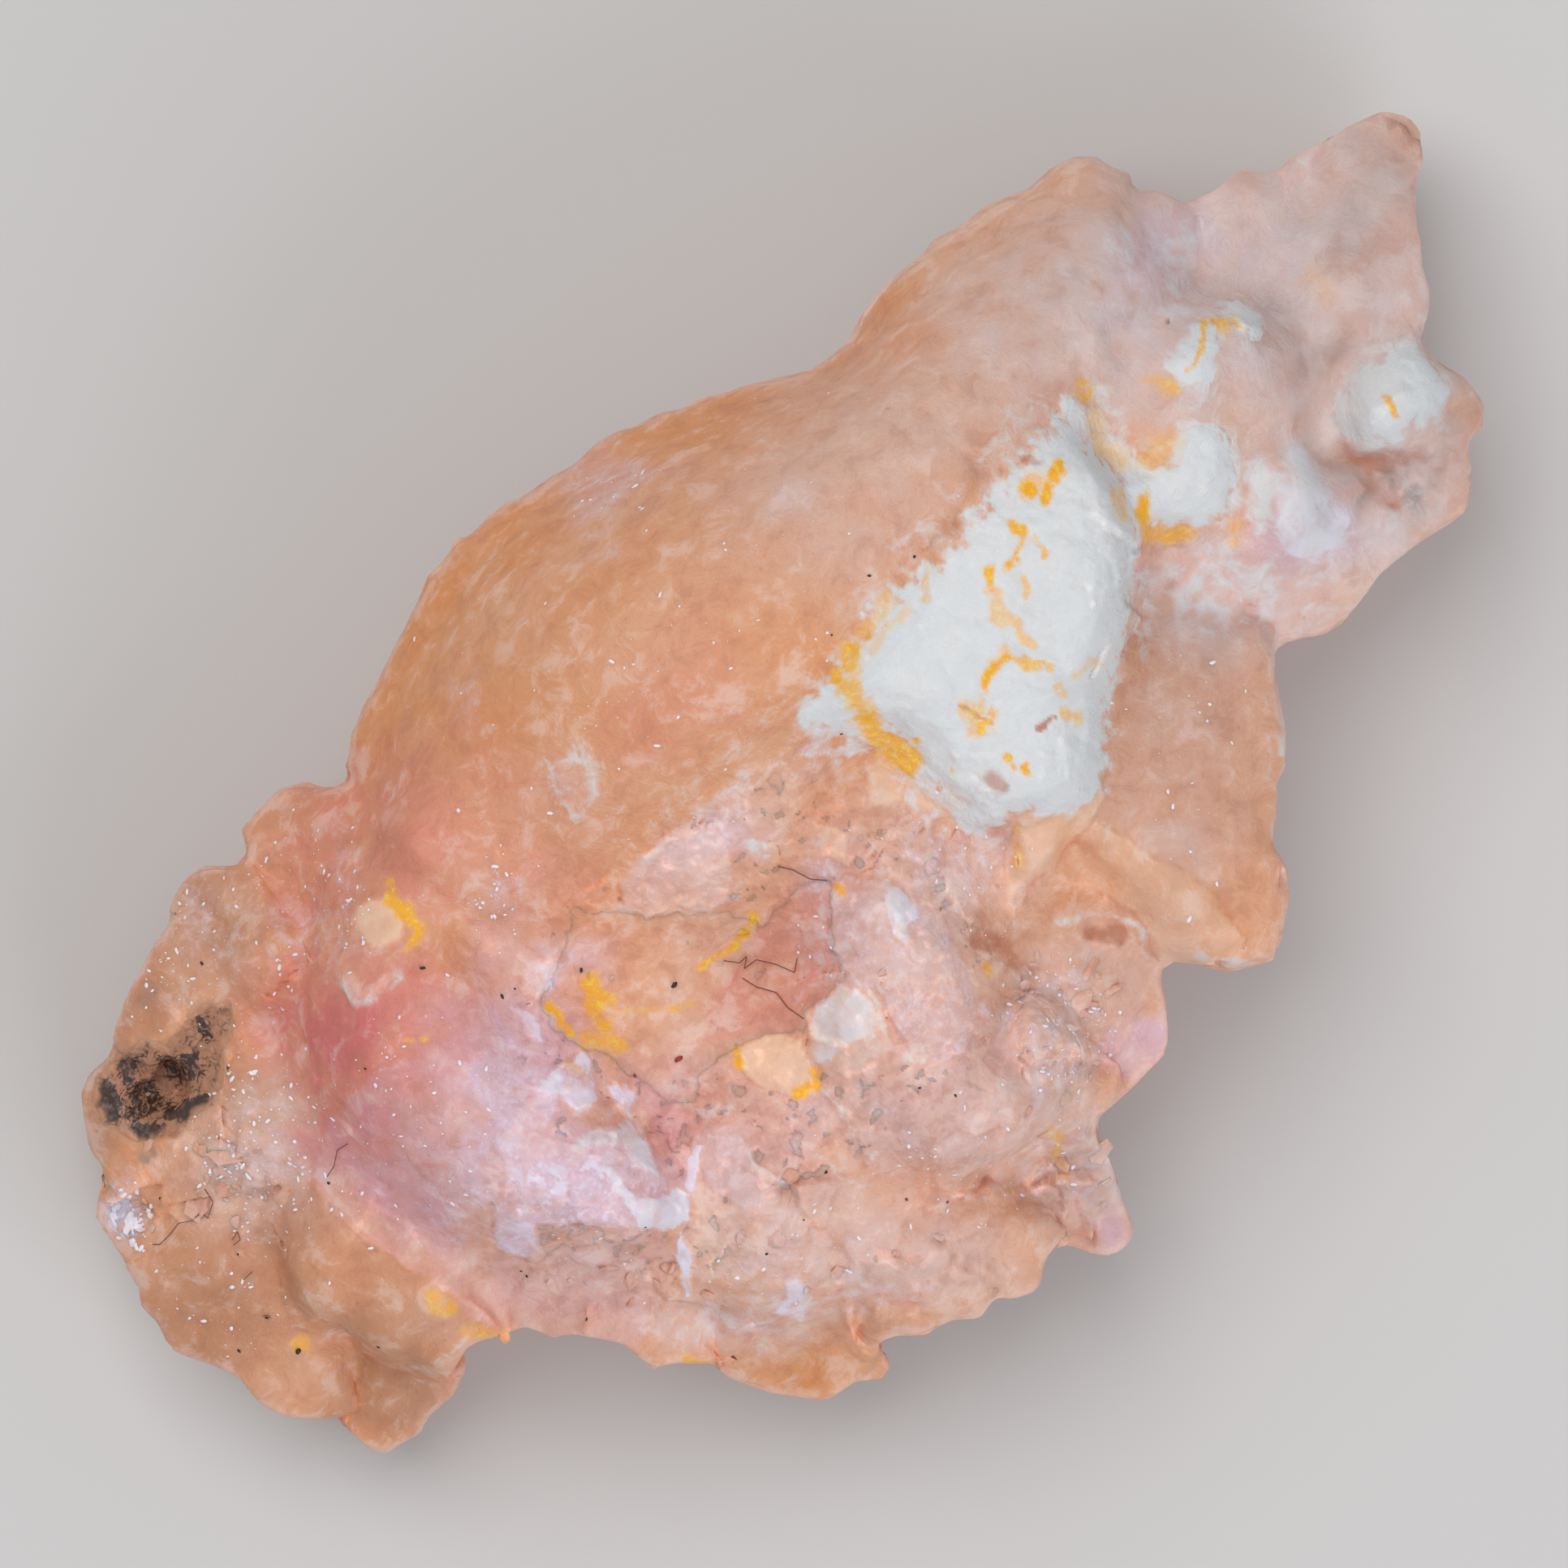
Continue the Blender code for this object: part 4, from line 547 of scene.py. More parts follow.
WHITE_VEINS = [
    ([(21.7, 14.7), (22.7, 13.5), (23.8, 12.2), (24.6, 11.0), (25.5, 10.3)], 0.26, 1.2),
    ([(26.2, 10.2), (26.9, 10.9), (27.9, 11.9)], 0.28, 1.3),
    ([(20.9, 17.9), (22.2, 18.7), (22.9, 19.4), (23.8, 20.2)], 0.2, 1.1),
    ([(21.3, 24.3), (21.65, 24.8), (21.8, 25.3)], 0.08, 0.9),
    ([(20.3, 26.7), (20.65, 27.2), (21.05, 27.8)], 0.06, 0.8),
    ([(20.9, 27.6), (21.4, 28.35), (21.65, 28.3)], 0.05, 0.7),
    ([(20.5, 22.0), (20.5, 23.3), (21.1, 24.2)], 0.05, 0.7),
    ([(17.1, 28.7), (17.2, 27.9), (18.2, 27.9), (18.6, 28.5), (19.4, 29.0)], 0.07, 0.6),
    ([(19.95, 28.2), (20.8, 28.9), (21.7, 29.2)], 0.05, 0.5),
    ([(16.5, 26.6), (17.2, 27.25), (18.1, 27.2)], 0.11, 0.55),
    ([(15.9, 21.2), (17.0, 20.3), (18.0, 19.4)], 0.12, 0.5),
    ([(17.2, 20.9), (18.1, 19.9), (18.8, 19.2)], 0.09, 0.45),
    ([(18.6, 18.0), (19.2, 17.3)], 0.07, 0.3), ([*SHIELD, SHIELD[0]], 0.06, 0.7),
    (TAN_LOBES[:14], 0.05, 0.4),
    ([(17.0, 19.5), (17.9, 18.6), (18.9, 17.9)], 0.05, 0.4), ([(16.2, 20.3), (17.3, 19.4)], 0.05, 0.4),
    ([(15.4, 22.2), (16.0, 22.5), (16.8, 22.3), (17.6, 22.3), (18.2, 22.0)], 0.06, 0.6),
    ([(24.0, 28.5), (25.2, 28.3), (26.4, 27.9)], 0.05, 0.4),
    ([(22.2, 30.0), (23.4, 29.4), (24.4, 29.4)], 0.05, 0.4),
    ([(26.0, 22.7), (27.0, 22.4), (28.0, 22.8), (28.2, 23.6)], 0.09, 0.7),
    ([(31.5, 17.8), (31.6, 18.4)], 0.09, 0.9),
    ([(29.5, 23.55), (30.7, 23.75)], 0.14, 0.8), ([(31.0, 17.2), (31.2, 19.0), (31.1, 21.4)], 0.04, 0.35),
    ([(26.9, 20.2), (28.6, 21.4), (30.4, 23.0)], 0.05, 0.35),
    ([(8.6, 24.0), (9.0, 24.6), (9.6, 24.4), (10.0, 24.0)], 0.13, 0.6),
    ([(29.3, 6.0), (29.7, 5.9)], 0.22, 0.7), ([(28.5, 7.4), (29.2, 6.9)], 0.18, 0.5),
    ([(34.8, 4.9), (35.0, 5.4)], 0.14, 0.6),
    ([(31.9, 4.0), (32.2, 3.9)], 0.20, 0.7), ([(33.2, 14.4), (34.4, 13.6)], 0.20, 0.4),
    ([(31.9, 13.6), (32.2, 13.9)], 0.16, 0.7),
]
FIBRES = [
    [(17.86, 23.61), (18.24, 23.67), (18.42, 23.5), (18.35, 23.81), (18.65, 23.59), (19.13, 23.7),
     (19.57, 23.89), (19.64, 23.54)],
    [(18.31, 24.04), (18.65, 24.25), (19.13, 24.38), (19.4, 24.73), (19.79, 25.0)],
    [(19.17, 21.31), (19.54, 21.4), (19.95, 21.62), (20.36, 21.65)],
    [(8.71, 28.07), (8.44, 28.24), (8.35, 28.64), (8.17, 28.9)],
    [(5.12, 29.24), (5.32, 29.57), (5.19, 29.97), (5.03, 29.83), (4.79, 30.03), (4.46, 30.1), (4.26, 30.36),
     (3.99, 30.63), (3.33, 30.66)],
    [(5.78, 30.5), (5.92, 30.3), (5.98, 30.5), (5.82, 30.63)],
    [(6.05, 31.49), (6.27, 31.29)],
    [(6.5, 32.4), (6.62, 32.38), (6.7, 32.45)],
]
WHITE_PATCHES = [
    (WHITE_CRUST, 1.0, 0.22), (SQUARE_KNOB, 1.0, 0.25), (OVAL_KNOB, 0.95, 0.3), (SLANTING_KNOB, 0.9, 0.2),
    (TALL_KNOB, 0.85, 0.22), (DOT_KNOB, 0.6, 0.1), (SPLINTER_KNOB, 0.85, 0.2), (WHITE_TOP, 0.45, 0.08),
    (FLAKE_PATCH, 0.4, 0.06), (WHITE_FLAKE, 0.2, 0.06), (BRIGHT_PATCH, 0.4, 0.06),
    (WHITE_STREAK, 0.3, 0.08),
    (FROST_RIM, 0.5, 0.1), (FROSTED_KNOB, 0.55, 0.25), (SMALL_BIT, 0.4, 0.06), (LAVENDER_FLAKE, 0.4, 0.05),
]
HAZE_SPOTS = [
    (22.2, 14.0, 2.4, 0.55, 46, 0.6), (24.6, 11.2, 1.4, 0.5, 50, 0.6), (27.3, 10.9, 1.4, 0.5, -55, 0.6),
    (20.4, 17.2, 1.0, 0.7, 30, 0.3),
    (27.9, 14.4, 0.4, 2.4, 0, 0.55), (28.3, 11.4, 1.0, 0.6, 0, 0.45), (23.0, 19.9, 1.6, 0.4, -35, 0.5),
    (20.0, 18.4, 0.9, 0.7, 0, 0.35), (21.6, 19.4, 1.2, 0.7, 0, 0.25),
    (30.9, 12.2, 0.5, 1.2, 0, 0.4), (32.4, 8.9, 0.5, 0.5, 0, 0.2), (15.3, 12.2, 1.2, 0.8, 20, 0.2),
    (29.3, 5.9, 0.5, 0.4, 30, 0.5), (28.9, 7.4, 0.7, 0.8, 20, 0.5), (18.4, 32.4, 2.0, 0.7, 0, 0.3),
    (20.4, 22.4, 0.6, 2.2, 0, 0.35), (34.0, 12.9, 1.6, 0.6, 30, 0.3),
    (30.2, 14.6, 2.6, 1.2, 0, 0.6), (29.0, 6.3, 0.9, 0.6, 30, 0.5), (27.4, 6.2, 1.0, 0.7, 30, 0.35),
    (31.7, 4.2, 0.3, 0.4, 0, 0.6), (32.0, 13.0, 1.2, 1.0, 0, 0.4), (31.4, 12.0, 1.0, 0.8, 0, 0.35),
    (32.0, 4.2, 0.4, 0.3, 30, 0.7), (34.6, 7.8, 0.8, 0.6, 0, 0.4), (29.6, 10.2, 1.0, 0.5, 0, 0.3),
    (20.9, 18.5, 0.5, 0.6, 0, 0.7), (18.3, 19.1, 0.4, 0.3, 0, 0.4), (24.2, 20.95, 0.28, 0.18, 0, 0.9),
    (24.4, 23.05, 0.2, 0.14, 0, 0.9), (18.65, 20.9, 0.25, 0.35, 0, 0.6), (21.8, 21.2, 0.3, 0.4, 0, 0.5),
    (30.2, 23.6, 0.8, 0.3, 0, 0.6), (31.4, 18.2, 0.2, 0.5, 0, 0.7),
]
DARK_SPECKS = [
    (13.44, 24.26, 0.10), (12.8, 24.28, 0.05), (12.5, 24.46, 0.06), (10.6, 23.76, 0.06), (8.2, 29.06, 0.06),
    (4.0, 29.5, 0.06), (7.36, 33.28, 0.10), (5.9, 33.28, 0.05), (5.92, 30.86, 0.04), (16.66, 24.2, 0.09),
    (14.4, 23.84, 0.06), (15.96, 30.04, 0.06), (18.9, 30.74, 0.05), (13.0, 30.56, 0.06),
    (13.04, 31.34, 0.05),
    (20.34, 28.74, 0.05), (22.6, 26.66, 0.045), (23.46, 26.84, 0.045), (23.84, 14.22, 0.06),
    (22.82, 15.6, 0.05),
    (22.6, 15.8, 0.05), (22.9, 15.85, 0.045), (22.8, 16.7, 0.04), (22.4, 18.04, 0.05), (21.5, 17.1, 0.055),
    (22.44, 13.88, 0.05), (21.36, 14.34, 0.045), (20.46, 15.76, 0.04), (20.7, 18.12, 0.04),
    (9.2, 26.2, 0.04),
    (14.5, 32.4, 0.06), (12.9, 31.2, 0.05), (6.6, 32.45, 0.05), (5.1, 23.7, 0.05), (9.4, 33.1, 0.04),
]
RED_SPECKS = [
    (16.96, 21.06, 0.07), (16.76, 26.0, 0.10), (16.5, 31.1, 0.09), (22.3, 29.42, 0.06), (22.08, 24.5, 0.05),
    (15.7, 26.4, 0.06), (17.1, 21.7, 0.07), (23.3, 29.5, 0.05), (19.8, 29.9, 0.04), (15.2, 26.4, 0.04),
]

THIN_MARGIN = [(20.4, 16.4), (21.4, 14.8), (23.2, 13.2), (24.2, 11.8), (25.2, 10.7)]

# Soft colour spots: (x, y, half length, half width, turn, strength).
# Amber spots on thin rims, such as along the foot, are painted glow of light through the thin stone; the
# others are the stone's own tone and stains.
AMBER_SPOTS = [
    (15.2, 14.2, 2.4, 1.1, 30, 0.4), (19.2, 14.8, 1.4, 2.0, 20, 0.5), (9.8, 17.4, 1.0, 1.8, -25, 0.7),
    (29.5, 22.3, 1.3, 0.7, -45, 0.5), (27.2, 21.2, 1.6, 0.7, -30, 0.25), (11.2, 17.6, 2.6, 2.4, 0, 0.45),
    (20.0, 33.9, 1.8, 0.7, 0, 0.6), (15.0, 24.0, 1.4, 1.2, 0, 0.5),
    (12.1, 33.0, 0.7, 0.3, 0, 1.0), (17.2, 33.5, 0.6, 0.25, 0, 1.0), (27.6, 11.4, 0.9, 0.5, 30, 0.8),
    (10.6, 19.8, 1.6, 1.0, 0, 0.3), (30.6, 21.0, 0.6, 2.0, 0, 0.35), (20.8, 16.8, 1.0, 1.0, 0, 0.7),
    (14.4, 31.3, 2.4, 0.9, 0, 0.45), (9.2, 35.5, 1.0, 0.6, 0, 0.7), (36.2, 10.4, 0.4, 0.9, 0, 0.6),
    (27.6, 12.2, 0.6, 0.6, 0, 0.5), (33.0, 6.6, 0.4, 0.3, 40, 0.5), (34.1, 7.2, 0.5, 0.25, 45, 0.6),
]
# Along this thin rim the amber is painted glow: light through the thin stone laid into the colour.
AMBER_RIM_GLOW = [(8.8, 18.6), (9.8, 15.9), (11.3, 13.7), (13.8, 11.9), (16.6, 10.3), (19.6, 9.4), (21.6, 8.0)]
ROSE_SPOTS = [
    (8.6, 25.6, 1.9, 1.7, 0, 1.0), (8.6, 24.6, 2.6, 1.8, 0, 0.55), (9.0, 27.8, 1.7, 1.6, 0, 0.8),
    (9.6, 28.8, 1.9, 1.1, -25, 0.7), (9.6, 20.6, 2.6, 2.2, 0, 0.5), (12.0, 19.4, 2.0, 1.6, 0, 0.25),
    (8.0, 21.6, 1.6, 1.6, 0, 0.45),
    (10.4, 25.2, 1.5, 1.9, 0, 0.75), (13.2, 21.4, 2.4, 1.2, -20, 0.3), (16.6, 17.4, 2.0, 1.2, 40, 0.25),
]
# Lavender is partly the stone's own pink and partly a painted cool reflection.
LAVENDER_SPOTS = [
    (12.4, 28.3, 1.7, 1.5, 0, 0.9), (12.8, 26.2, 1.9, 2.2, 0, 0.9), (11.0, 27.8, 1.6, 1.2, 0, 0.6),
    (10.4, 29.4, 2.2, 1.2, -25, 0.6),
    (14.5, 28.9, 2.2, 1.3, 0, 1.0), (13.2, 26.6, 1.5, 1.4, 0, 0.85), (12.6, 24.2, 1.0, 1.6, 0, 0.5),
    (28.0, 25.6, 0.8, 0.9, 0, 0.9), (27.5, 30.4, 0.5, 0.6, 0, 0.9), (28.6, 6.2, 1.4, 1.0, 30, 0.5),
    (31.8, 13.2, 1.2, 1.0, 0, 0.7), (16.0, 27.2, 2.2, 1.6, 0, 0.4), (13.9, 23.6, 1.2, 0.8, 0, 0.5),
    (18.8, 27.6, 2.0, 1.6, 0, 0.35), (22.6, 26.6, 2.2, 2.4, 0, 0.2), (20.4, 22.4, 1.0, 2.0, 0, 0.3),
    (14.8, 11.9, 1.2, 0.9, -10, 0.35), (17.4, 21.0, 1.4, 0.8, 20, 0.45),
]
GREY_SPOTS = [
    (32.2, 7.0, 5.0, 6.0, 0, 1.0), (28.0, 7.6, 3.6, 3.2, 30, 1.0), (25.4, 8.2, 3.4, 2.4, 40, 0.7),
    (21.4, 11.4, 4.4, 2.6, 40, 0.45), (33.8, 12.4, 3.0, 3.2, 0, 1.0), (30.4, 14.8, 2.6, 1.6, 0, 0.9),
    (5.0, 23.6, 1.6, 1.6, 50, 0.2),
    (22.8, 31.0, 1.6, 0.9, 0, 0.5), (6.4, 28.6, 1.8, 2.2, 0, 0.6), (27.4, 29.2, 1.4, 2.0, 0, 0.7),
    (28.9, 20.8, 0.9, 0.6, 0, 0.5),
]
TAN_SPOTS = [
    (4.6, 23.0, 1.8, 2.4, -30, 0.8), (4.8, 30.6, 1.2, 0.8, 0, 0.6), (5.6, 32.0, 2.4, 2.4, 0, 1.0),
    (9.6, 34.4, 1.6, 1.5, 0, 0.9),
    (9.4, 31.6, 1.9, 1.4, 0, 0.55), (3.4, 25.0, 1.0, 1.4, -20, 1.0), (6.0, 27.0, 1.2, 1.2, 0, 0.5),
    (2.3, 27.6, 0.6, 1.5, 0, 1.0), (7.2, 19.9, 1.2, 0.9, 0, 0.4),
    (24.6, 22.9, 0.9, 0.7, 0, 0.5), (26.6, 28.8, 0.7, 1.0, 0, 0.3),
]
BEIGE_SPOTS = [
    (23.6, 27.2, 3.2, 2.2, 0, 1.0), (22.6, 22.4, 2.4, 2.8, 0, 0.95), (25.4, 25.2, 2.0, 2.0, 0, 0.9),
    (22.0, 30.8, 3.2, 1.7, 0, 0.8), (19.0, 29.6, 2.4, 2.0, 0, 0.85), (28.8, 18.4, 2.6, 4.0, 0, 0.45),
    (27.0, 24.0, 1.4, 1.4, 0, 0.6), (30.0, 14.3, 2.8, 1.2, 0, 0.9), (14.6, 31.6, 2.8, 1.2, 0, 0.6),
    (18.4, 20.2, 1.8, 0.9, 35, 0.6), (24.0, 20.8, 1.6, 0.8, 0, 0.8), (26.6, 29.4, 1.0, 1.6, 0, 0.6),
    (25.0, 21.0, 0.8, 1.2, 0, 0.5), (10.4, 32.4, 1.0, 0.8, 0, 0.35), (18.6, 24.4, 3.6, 3.0, 0, 0.35),
    (21.8, 26.8, 2.4, 2.0, 0, 0.8),
    (18.0, 32.2, 2.6, 1.0, 0, 0.8), (28.4, 22.4, 1.6, 1.0, -30, 0.4),
]
# Frosted ground: partly whitish frosted breaks, partly painted cool sheen.
FROST_AND_SHEEN_SPOTS = [
    (15.6, 12.2, 1.5, 1.0, 20, 0.6), (14.8, 13.7, 0.5, 0.8, 0, 0.55), (19.3, 12.9, 0.6, 0.5, 0, 0.6),
    (14.3, 19.4, 0.7, 0.8, 0, 0.5), (11.4, 17.4, 0.5, 0.8, 10, 0.5), (12.4, 21.9, 0.6, 0.7, 0, 0.8),
    (8.5, 21.4, 0.4, 0.8, 20, 0.8), (7.4, 22.9, 1.2, 0.9, 0, 0.6), (6.6, 28.6, 1.0, 1.6, 0, 0.65),
    (11.8, 29.2, 1.2, 1.4, 0, 0.7), (14.4, 29.2, 2.2, 1.2, 0, 1.0), (15.4, 31.2, 2.4, 0.9, 0, 0.25),
    (26.0, 25.4, 1.2, 1.7, 0, 0.9), (24.2, 24.9, 0.6, 0.5, 0, 0.9), (23.0, 21.0, 2.0, 1.2, 0, 0.7),
    (28.4, 7.0, 1.8, 1.2, 40, 0.7), (17.6, 20.6, 1.2, 0.9, 30, 0.6), (20.0, 18.6, 0.8, 0.7, 0, 0.9),
    (5.2, 22.8, 0.7, 1.2, 0, 0.5), (3.0, 29.8, 0.6, 1.0, 0, 1.0), (12.8, 26.6, 0.9, 1.2, 0, 0.8),
    (20.4, 22.2, 0.7, 2.0, 0, 0.6), (14.0, 23.4, 0.7, 0.5, 0, 0.7), (17.8, 32.6, 2.0, 0.6, 0, 0.5),
    (21.5, 32.0, 1.6, 0.5, 0, 0.6), (32.6, 13.4, 1.4, 0.9, 0, 0.6), (21.0, 31.0, 0.6, 0.5, 0, 0.7),
    (26.6, 28.6, 1.4, 1.4, 0, 0.7),
    (19.6, 31.2, 1.6, 1.2, 0, 0.5), (30.4, 14.6, 2.0, 1.2, 0, 0.6), (31.2, 6.2, 1.0, 1.6, 30, 0.5),
]
SHADE_SPOTS = [
    (33.8, 12.0, 1.0, 0.8, 30, 1.0), (33.2, 11.2, 0.9, 0.4, 20, 0.9), (34.6, 12.6, 0.6, 0.5, 0, 0.8),
    (32.4, 6.0, 1.4, 0.8, 0, 0.4), (34.0, 5.2, 0.4, 0.4, 0, 0.6), (31.6, 7.7, 0.9, 0.5, 20, 0.45),
    (32.3, 8.7, 0.9, 0.4, 0, 0.45), (3.6, 24.5, 0.5, 0.4, 0, 0.6), (3.6, 28.5, 0.4, 0.25, 0, 0.9),
    (35.2, 11.6, 0.4, 0.8, 0, 0.4),
]
CLEAR_SPOTS = [
    (29.0, 18.6, 2.0, 3.6, 0, 0.8), (29.2, 22.4, 2.2, 1.2, -40, 0.6), (27.0, 23.6, 1.6, 1.4, 0, 0.7),
    (9.4, 34.2, 1.8, 1.8, 0, 0.9), (2.6, 27.4, 0.8, 1.8, 0, 1.0), (27.0, 29.4, 1.0, 1.6, 0, 0.7),
    (35.6, 11.0, 1.0, 1.8, 0, 0.6), (33.8, 4.2, 1.6, 1.4, 0, 0.5), (20.2, 33.6, 2.0, 0.8, 0, 0.7),
    (4.6, 32.6, 1.6, 1.4, 0, 0.5),
]
MELTED_SPOTS = [
    (31.6, 8.0, 4.6, 6.5, 0, 1.0), (33.6, 12.0, 3.0, 3.0, 0, 1.0), (29.0, 12.4, 2.0, 2.4, 0, 0.9),
    (22.0, 30.6, 4.0, 2.0, 0, 0.8), (18.8, 29.2, 2.6, 2.2, 0, 0.8), (23.6, 27.4, 3.2, 1.8, 0, 0.8),
    (17.0, 15.0, 8.0, 5.0, 42, 1.0), (11.0, 27.4, 3.6, 3.0, 0, 0.7), (7.0, 20.6, 2.4, 1.8, 0, 0.6),
    (25.4, 22.8, 1.6, 1.4, 0, 0.7), (25.4, 10.4, 2.6, 2.0, 40, 1.0), (24.2, 16.0, 3.6, 4.6, 0, 1.0),
]
LEVELLED_SPOTS = [
    (20.9, 25.3, 1.5, 1.5, 0, 1.0), (19.2, 26.2, 1.3, 1.1, 0, 1.0), (14.1, 26.6, 1.3, 1.1, 0, 1.0),
    (16.4, 29.6, 1.1, 1.4, 0, 1.0), (9.6, 22.6, 1.2, 1.2, 0, 1.0), (34.0, 10.0, 1.6, 1.5, 40, 1.0),
    (29.2, 12.0, 1.7, 1.5, 0, 1.0), (30.4, 8.1, 1.0, 0.9, 0, 1.0), (29.2, 9.0, 1.1, 1.2, 0, 1.0),
    (22.3, 31.8, 1.0, 1.0, 0, 0.6), (12.0, 28.0, 2.2, 1.8, 0, 0.8), (9.4, 25.8, 2.0, 1.8, 0, 0.8),
    (22.1, 22.6, 1.2, 1.2, 0, 1.0), (25.4, 18.6, 1.6, 1.6, 0, 1.0), (7.8, 21.0, 1.4, 1.2, 0, 0.7),
    (18.2, 24.6, 3.4, 3.0, 0, 1.0), (14.6, 28.6, 2.6, 2.4, 0, 1.0), (21.4, 27.0, 2.6, 2.0, 0, 1.0),
    (16.4, 21.6, 2.0, 1.2, 30, 1.0), (22.4, 23.4, 2.2, 2.6, 0, 1.0), (29.2, 19.0, 1.8, 3.2, 0, 0.9),
    (30.8, 17.4, 0.8, 0.6, 0, 1.0), (24.0, 5.3, 0.8, 0.8, 0, 1.0), (18.6, 30.4, 2.0, 1.4, 0, 0.8),
    (32.4, 6.6, 2.6, 2.4, 0, 0.8), (33.8, 12.6, 1.8, 1.4, 30, 0.7), (10.4, 29.0, 2.6, 2.2, 0, 1.0),
    (13.0, 31.6, 1.8, 0.8, 0, 1.0), (20.4, 29.4, 1.4, 1.2, 0, 1.0), (15.8, 31.6, 2.4, 0.9, 0, 0.9),
    (26.2, 28.6, 1.4, 1.2, 0, 1.0), (17.0, 19.8, 3.0, 1.0, 40, 1.0), (21.0, 31.6, 1.8, 1.2, 0, 0.9),
    (22.0, 19.0, 2.2, 1.2, -30, 1.0), (27.4, 22.8, 1.6, 1.2, 0, 0.8), (4.6, 29.4, 1.2, 1.0, 0, 0.6),
    (20.0, 20.4, 1.4, 2.0, 0, 1.0), (13.6, 30.8, 2.0, 1.0, 0, 1.0), (28.4, 6.2, 0.9, 1.2, 0, 0.9),
    (30.2, 14.6, 2.4, 1.2, 0, 1.0), (21.2, 32.8, 0.8, 0.6, 0, 1.0), (19.4, 29.2, 1.2, 1.0, 0, 1.0),
    (19.0, 33.4, 1.0, 0.5, 0, 0.9), (6.1, 29.3, 1.0, 0.8, 0, 1.0),
    (29.0, 6.0, 1.0, 0.9, 0, 1.0), (17.0, 21.2, 3.0, 1.2, 0, 1.0),
]
CRISP_SPOTS = [
    (29.2, 19.0, 2.6, 4.4, 0, 1.0), (29.6, 22.4, 2.6, 1.4, -40, 1.0), (9.6, 34.6, 2.0, 1.8, 0, 0.9),
    (4.0, 27.0, 2.2, 2.2, 0, 0.6), (27.0, 29.4, 1.2, 2.0, 0, 0.8), (19.6, 33.8, 2.4, 1.0, 0, 0.6),
]
# Where the painted glints lie, near-white flecks standing in for highlights; at the sparkling tip they grow
# larger, a painted sparkle.
SPARKLING_TIP = (3.2, 30.0, 0.7, 0.8, 0, 1.0)
PAINTED_GLINT_SPOTS = [
    (5.5, 23.0, 2.4, 2.6, 0, 0.3), (6.4, 28.4, 1.8, 2.4, 0, 0.55), (8.6, 22.4, 0.6, 1.4, 10, 0.7),
    (12.3, 22.3, 0.6, 1.1, 0, 0.9), (10.4, 27.4, 3.6, 2.6, 0, 0.13), (14.0, 29.4, 1.8, 1.2, 0, 0.6),
    (26.0, 25.4, 1.2, 1.7, 0, 0.8), (22.4, 23.0, 2.6, 2.8, 0, 0.35), (23.4, 25.5, 0.4, 0.4, 0, 1.0),
    (17.7, 31.3, 0.7, 0.4, 0, 0.9), (5.6, 32.0, 2.2, 1.8, 0, 0.15),
    (18.0, 30.2, 3.6, 1.8, 0, 0.16), (24.0, 28.0, 3.0, 2.0, 0, 0.16), (15.4, 12.4, 1.1, 0.8, 20, 0.3),
    (17.2, 20.8, 1.4, 0.9, 35, 0.3), SPARKLING_TIP, (23.2, 28.8, 0.6, 0.4, 0, 0.8),
    (16.0, 16.0, 7.0, 4.4, 42, 0.03), (29.2, 18.6, 1.6, 3.4, 0, 0.05), (7.4, 21.0, 1.6, 1.2, 0, 0.25),
]
PINK_EDGE = [
    (7.8, 29.0), (8.4, 29.8), (9.0, 30.4), (9.6, 30.7), (10.1, 31.1), (11.2, 31.6), (11.5, 32.2),
    (12.2, 32.6),
]
CHIPPED_SPOTS = [
    (22.8, 21.4, 2.2, 2.4, 0, 0.6), (26.0, 25.4, 1.3, 1.9, 0, 1.0), (14.0, 29.6, 1.6, 1.0, 0, 0.5),
    (18.6, 29.8, 2.0, 1.8, 0, 0.2), (15.4, 31.2, 2.6, 0.8, 0, 0.8), (22.4, 31.4, 3.0, 1.2, 0, 0.25),
    (5.6, 28.8, 1.8, 1.2, 0, 0.8), (3.2, 30.0, 1.0, 1.0, 0, 1.0), (26.8, 29.2, 1.0, 1.8, 0, 0.3),
]
ROUGH_SPOTS = [
    (22.8, 21.4, 2.4, 2.8, 0, 1.0), (26.0, 25.4, 1.4, 2.0, 0, 1.0), (14.6, 29.2, 2.6, 1.4, 0, 0.9),
    (18.6, 29.8, 2.0, 2.0, 0, 0.7), (15.4, 31.4, 2.8, 1.2, 0, 0.9), (32.4, 7.0, 3.4, 4.6, 0, 0.75),
    (33.6, 12.6, 2.4, 2.4, 0, 0.75), (24.0, 28.6, 2.8, 2.4, 0, 0.7), (28.0, 8.0, 2.4, 1.6, 30, 0.5),
    (22.4, 31.4, 3.0, 1.4, 0, 0.8), (5.6, 28.8, 2.0, 1.4, 0, 0.8),
    (3.4, 30.0, 1.2, 1.2, 0, 1.0), (26.8, 29.2, 1.2, 2.0, 0, 0.7), (17.4, 20.4, 2.0, 1.0, 35, 0.6),
    (29.4, 14.2, 2.4, 1.0, 0, 0.6), (6.4, 22.4, 1.8, 1.8, 0, 0.4), (16.8, 27.6, 1.6, 1.4, 0, 0.8),
]
